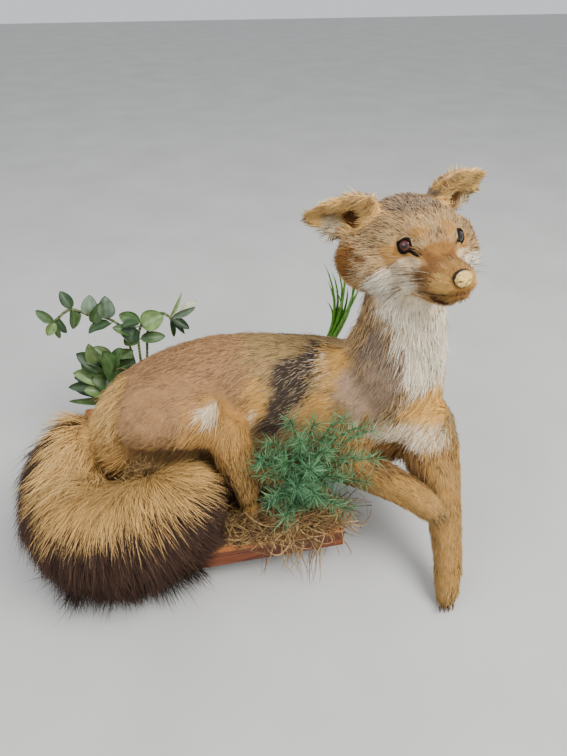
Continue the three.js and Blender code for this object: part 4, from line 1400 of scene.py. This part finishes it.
FERN_ROOT = (96, -84, 58)
NEEDLES = 10  # in each star
FERN_TIPS = (
    (157, -96, 166), (133, -90, 180), (108, -84, 172), (87, -80, 176), (66, -86, 158), (52, -99, 146),
    (126, -122, 138), (98, -120, 152), (62, -116, 118), (142, -112, 150), (76, -104, 150), (112, -108, 160),
    (58, -100, 132), (60, -112, 106), (74, -122, 96), (150, -118, 124), (118, -128, 112), (92, -96, 166),
    (160, -110, 144), (56, -104, 158), (100, -128, 128), (134, -124, 96), (84, -122, 134), (146, -96, 172),
)


def arcs(root, tips, shares):
    """Stems that leave the root steeply and bend outwards to their tips.

    At s along, x and y go as s^1.6 and z goes as 1 - (1 - s)^1.5.
    """
    s = np.asarray(shares)[:, None]
    return root + (np.array(tips, float) - root)[:, None] * np.hstack([s**1.6, s**1.6, 1 - (1 - s) ** 1.5])


def fern():
    """Artificial fern: wiry stems set all along with stars of thin needles."""
    rng = np.random.default_rng(31)
    nodes = arcs(FERN_ROOT, FERN_TIPS, np.linspace(0.25, 1, 13))
    ahead = unit(np.gradient(nodes, axis=1)).reshape(-1, 3)
    spots = nodes.reshape(-1, 3)
    stars = (len(spots), NEEDLES)
    way = unit(rng.normal(0, 1, (*stars, 3)) * (1, 1, 0.9) + 0.75 * ahead[:, None])
    reach = rng.uniform(12, 21, (*stars, 1)) * (0.8 + 0.3 * rng.random((len(spots), 1, 1)))
    start = np.repeat(spots, NEEDLES, axis=0)
    end = start + (way * reach).reshape(-1, 3)
    bow = rng.normal(0, 0.6, start.shape)
    tones = blend((0.22, 0.44, 0.28), (0.55, 0.74, 0.52), rng.random(len(start)))
    stems = arcs(FERN_ROOT, FERN_TIPS, np.linspace(0, 1, 12))
    wires = stems[:, :-1].reshape(-1, 3)
    width = np.r_[rng.uniform(0.5, 0.85, len(start)), np.full(len(wires), 1.4)]
    start, end = np.vstack([start, wires]), np.vstack([end, stems[:, 1:].reshape(-1, 3)])
    bow = np.vstack([bow, np.zeros(wires.shape)])
    tones = linear(np.vstack([tones, np.full(wires.shape, (0.20, 0.40, 0.25))]))
    green = tinted("fern_green", 90.0, 3.0, (0.70, 0.74, 0.72), rough=(0.2, 0.4), Roughness=0.45)
    bent_spikes("fern_needles", start, end, bow, width, tones, green, "fern_green", 4, ("fern",))


BLADES = {"root": (124, 102, 57), "lean": (192, 96, 150), "width": 5.6}
BLADE_TIPS = (
    (160, 99, 238), (174, 98, 235), (194, 96, 215), (205, 95, 210), (166, 101, 214), (182, 96, 240),
    (198, 94, 196), (176, 103, 200), (170, 100, 226), (186, 98, 222), (190, 99, 204), (180, 95, 214),
    (164, 97, 190), (200, 97, 222),
)


def grass_blades():
    """Tuft of green blades behind the shoulder: each leaves the shared stalk and bends to its tip."""
    rng = np.random.default_rng(37)
    blade = grained("blade_green", (0.20, 0.44, 0.10), (0.50, 0.74, 0.25), 120.0, 2.0, (6, 6, 1),
                    Roughness=0.4)
    tips = np.array(BLADE_TIPS, float)
    root = BLADES["root"] + rng.normal(0, 1.5, tips.shape) * (1, 1, 0)
    bow = (BLADES["lean"] - (root + tips) / 2) * 0.62 + rng.normal(0, 2, tips.shape)
    tones = np.full(tips.shape, linear((0.3, 0.5, 0.15)))
    width = np.full(len(tips), BLADES["width"])
    bent_spikes("blades", root, tips, bow, width, tones, blade, "blade_green", 12, ("grass_blades",),
                (0.25, 1, 0.3))


# Stems through centre points; leaves as shade, base, tip and half width.
STEMS = (
    ((-62, 104, 57), (-62, 104, 140), (-68, 105, 178), (-82, 102, 193), (-97, 100, 199), (-113, 98, 209),
     (-133, 96, 197)),
    ((-56, 103, 57), (-53, 100, 140), (-50, 100, 168), (-44, 102, 182)),
    ((-52, 105, 57), (-45, 108, 140), (-36, 109, 176), (-22, 108, 188), (-11, 98, 186)),
    ((-70, 98, 57), (-80, 95, 96), (-84, 94, 122), (-94, 93, 136)),
)
STEM_NODES = ("eucalyptus_left", "eucalyptus_middle", "eucalyptus_right", "eucalyptus_low")
STEM_WIDTH, STALK_WIDTH = 3.0, 1.3
LEAF_GRID = (13, 7)  # points along and across a leaf
LEAF_THICK = 0.56
# Leaf tones: dark and light are the mid leaf green in painted shade and painted light; grey and cream are
# leaves of their own colour.
LEAF_TONES = {
    "dark": (0.16, 0.26, 0.13), "mid": (0.30, 0.41, 0.22), "light": (0.45, 0.55, 0.32),
    "grey": (0.42, 0.50, 0.41), "cream": (0.86, 0.84, 0.72),
}
# The dark leaves carry painted shade and the light leaves painted light.
LEAVES = table("""
    mid   -133 96 197  -149 100 210  4.5
    mid   -132 96 196  -133 98 173  2.6
    light -132 95 197  -142 90 184  4.2
    dark  -128 98 200  -124 94 182  4
    dark  -112 98 210  -120 104 228  5
    mid   -112 98 210  -113 90 189  6.6
    grey  -95 100 196  -93 106 219  7.2
    grey  -80 100 192  -77 104 217  7.3
    mid   -95 98 190  -81 98 213  5.5
    dark  -76 98 187  -100 88 186  8.2
    mid   -46 103 182  -68 108 191  6.4
    dark  -47 98 184  -64 92 186  7.7
    dark  -53 97 180  -59 88 165  9.5
    mid   -54 99 171  -75 96 183  5.3
    light -45 100 178  -20 104 188  9.6
    mid   -49 100 162  -21 102 161  5.4
    mid   -52 98 172  -66 94 158  6.5
    cream -11 98 186  18 102 203  4.1
    grey  -9 96 189  16 92 199  3.5
    dark  -11 98 186  7 90 175  4.1
    dark  -12 98 185  -11 96 161  2.4
    dark  -14 98 187  2 94 166  2.6
    light -12 99 188  4 104 212  1.6
    light -96 92 135  -104 88 168  7.6
    light -86 96 139  -100 98 159  6.6
    mid   -82 92 112  -87 84 159  11
    mid   -84 97 135  -60 100 147  8.8
    dark  -82 92 124  -59 90 140  8.8
    dark  -92 91 128  -128 86 127  8
    mid   -84 90 110  -107 80 129  9.6
    dark  -82 92 98  -130 86 109  6.7
    mid   -80 92 92  -141 82 94  4.9
    mid   -88 90 120  -116 84 146  8
    dark  -80 88 108  -64 80 126  8
    light -88 84 100  -118 76 118  7.5
    dark  -78 90 100  -96 74 96  7
    dark  -90 92 132  -118 88 158  8.5
    mid   -84 92 128  -108 82 112  8.5
    mid   -80 92 116  -66 78 104  8
    dark  -86 90 112  -136 82 118  6.5
    light -84 92 104  -92 72 122  8.5
    mid   -82 92 130  -72 88 160  8.5
    light -90 90 118  -126 84 136  8
""")


def leaf_sheets(rng, start, end, half):
    """Leaves as thin closed sheets folded along the midrib, with wavy rims.

    At s along and v across (-1 to 1): half width = half x sin(pi s^0.9)^0.6; the sheet rises with
    |v| (the fold), bows down towards the tip and ripples along its rim.
    """
    count, (along, across) = len(start), LEAF_GRID
    s = np.linspace(0, 1, along)[:, None]
    v = np.linspace(-1, 1, across)
    length = np.linalg.norm(end - start, axis=1)[:, None, None]
    ahead = unit(end - start)
    facing = unit(rng.normal(0, 0.4, (count, 3)) + (0, -0.8, 0.6))
    lateral = unit(np.cross(facing, ahead))
    raised = unit(np.cross(ahead, lateral))[:, None, None]
    width = half[:, None, None] * np.sin(np.pi * s**0.9) ** 0.6 * (1 - 0.10 * s)
    fold = rng.uniform(0.15, 0.5, (count, 1, 1))
    ripple = 0.07 * np.sin(9 * s + 7 * rng.random((count, 1, 1))) * np.abs(v)
    rise = width * (fold * np.abs(v) + ripple) - 0.10 * length * s**2 + 0.05 * length * np.sin(np.pi * s)
    middle = start[:, None, None] + (s * length)[..., None] * ahead[:, None, None]
    sheet = middle + (width * v)[..., None] * lateral[:, None, None] + rise[..., None] * raised
    wall = LEAF_THICK / 2 * raised
    points = np.stack([sheet + wall, sheet - wall], axis=1).reshape(-1, 3)
    size = along * across
    grid = np.arange(size).reshape(along, across)
    top = np.stack([grid[:-1, :-1], grid[1:, :-1], grid[1:, 1:], grid[:-1, 1:]], axis=-1).reshape(-1, 4)
    rim = np.r_[grid[0], grid[1:, -1], grid[-1, -2::-1], grid[-2:0:-1, 0]]
    edge = np.stack([rim, np.roll(rim, -1), np.roll(rim, -1) + size, rim + size], axis=1)
    return points, [copies(np.vstack([top[:, ::-1], top + size, edge]), count, 2 * size)]


def leaf_tones(rng):
    """Colours over the leaves: paler at the midrib and the rim, and duller underneath."""
    # Each leaf starts from its tone, which is painted shade for the dark leaves and painted light for the
    # light ones.
    base = np.array([LEAF_TONES[shade] for shade, _ in LEAVES])
    base = base * rng.uniform(0.85, 1.15, (len(base), 1))
    along, across = LEAF_GRID
    spine = np.tile(np.abs(np.linspace(-1, 1, across)), 2 * along)[:, None]
    tones = base[:, None] * (0.92 + 0.14 * spine) + 0.10 * bell(spine / 0.2)
    tones[:, along * across:] = tones[:, along * across:] * 0.9 + 0.06
    return linear(tones.reshape(-1, 3))


def eucalyptus():
    """Sprays of eucalyptus: round stems, a folded leaf from each base and its stalk."""
    rng = np.random.default_rng(41)
    leaf = tinted("eucalyptus_leaf", 130.0, 4.0, (0.70, 0.74, 0.68), rough=(0.3, 0.35), Roughness=0.55)
    sizes = np.array([row for _, row in LEAVES])
    start, end = sizes[:, :3], sizes[:, 3:6]
    mesh = mesh_of("eucalyptus_leaves", *leaf_sheets(rng, start, end, 1.3 * sizes[:, 6]), leaf_tones(rng))
    piece("eucalyptus_leaves", mesh, leaf, "eucalyptus_green", *STEM_NODES)
    curves = [through([(*spot, 0) for spot in stem], np.linspace(0, 1, 30))[:, :3] for stem in STEMS]
    stalks = np.vstack(curves)
    nearest = stalks[np.linalg.norm(start[:, None] - stalks, axis=2).argmin(axis=1)]
    rod_start = np.vstack([*(curve[:-1] for curve in curves), nearest])
    rod_end = np.vstack([*(curve[1:] for curve in curves), start + 0.05 * (end - start)])
    width = np.full(len(rod_start), STEM_WIDTH)
    width[-len(LEAVES):] = STALK_WIDTH
    bark = grained("eucalyptus_stem", (0.22, 0.28, 0.14), (0.44, 0.47, 0.27), 260.0, 3.0, (1, 1, 0.3),
                   Roughness=0.6)
    rods("eucalyptus_stems", rod_start, rod_end, width, bark, "eucalyptus_green")


def rods(name, start, end, width, finish, slot):
    """Piece of straight six-sided rods that overlap end to end, each closed by its two caps."""
    along = unit(end - start + 1e-6)
    lateral = unit(np.cross(along, (0.2, 0.1, 0.97)))
    turn = np.linspace(0, 2 * np.pi, 6, endpoint=False)
    ring = spokes(turn, lateral, np.cross(lateral, along)) * (width / 2)[:, None, None]
    points = np.concatenate([start[:, None] + ring, end[:, None] + ring], axis=1).reshape(-1, 3)
    side, after = np.arange(6), (np.arange(6) + 1) % 6
    walls = np.stack([side, side + 6, after + 6, after], axis=1)
    cap = np.array([[0, 1, 2], [0, 2, 3], [0, 3, 4], [0, 4, 5]])
    faces = [copies(part, len(start), 12) for part in (walls, np.vstack([cap, cap[:, ::-1] + 6]))]
    piece(name, mesh_of(name, points, faces), finish, slot)


# ---- Build -----------------------------------------------------------------------------------

camera()
studio()
hide = skin()
coat(hide)
eyes()
nose()
whiskers(straw_finish())
claws()
mount()
dried_grass()
fern()
grass_blades()
eucalyptus()
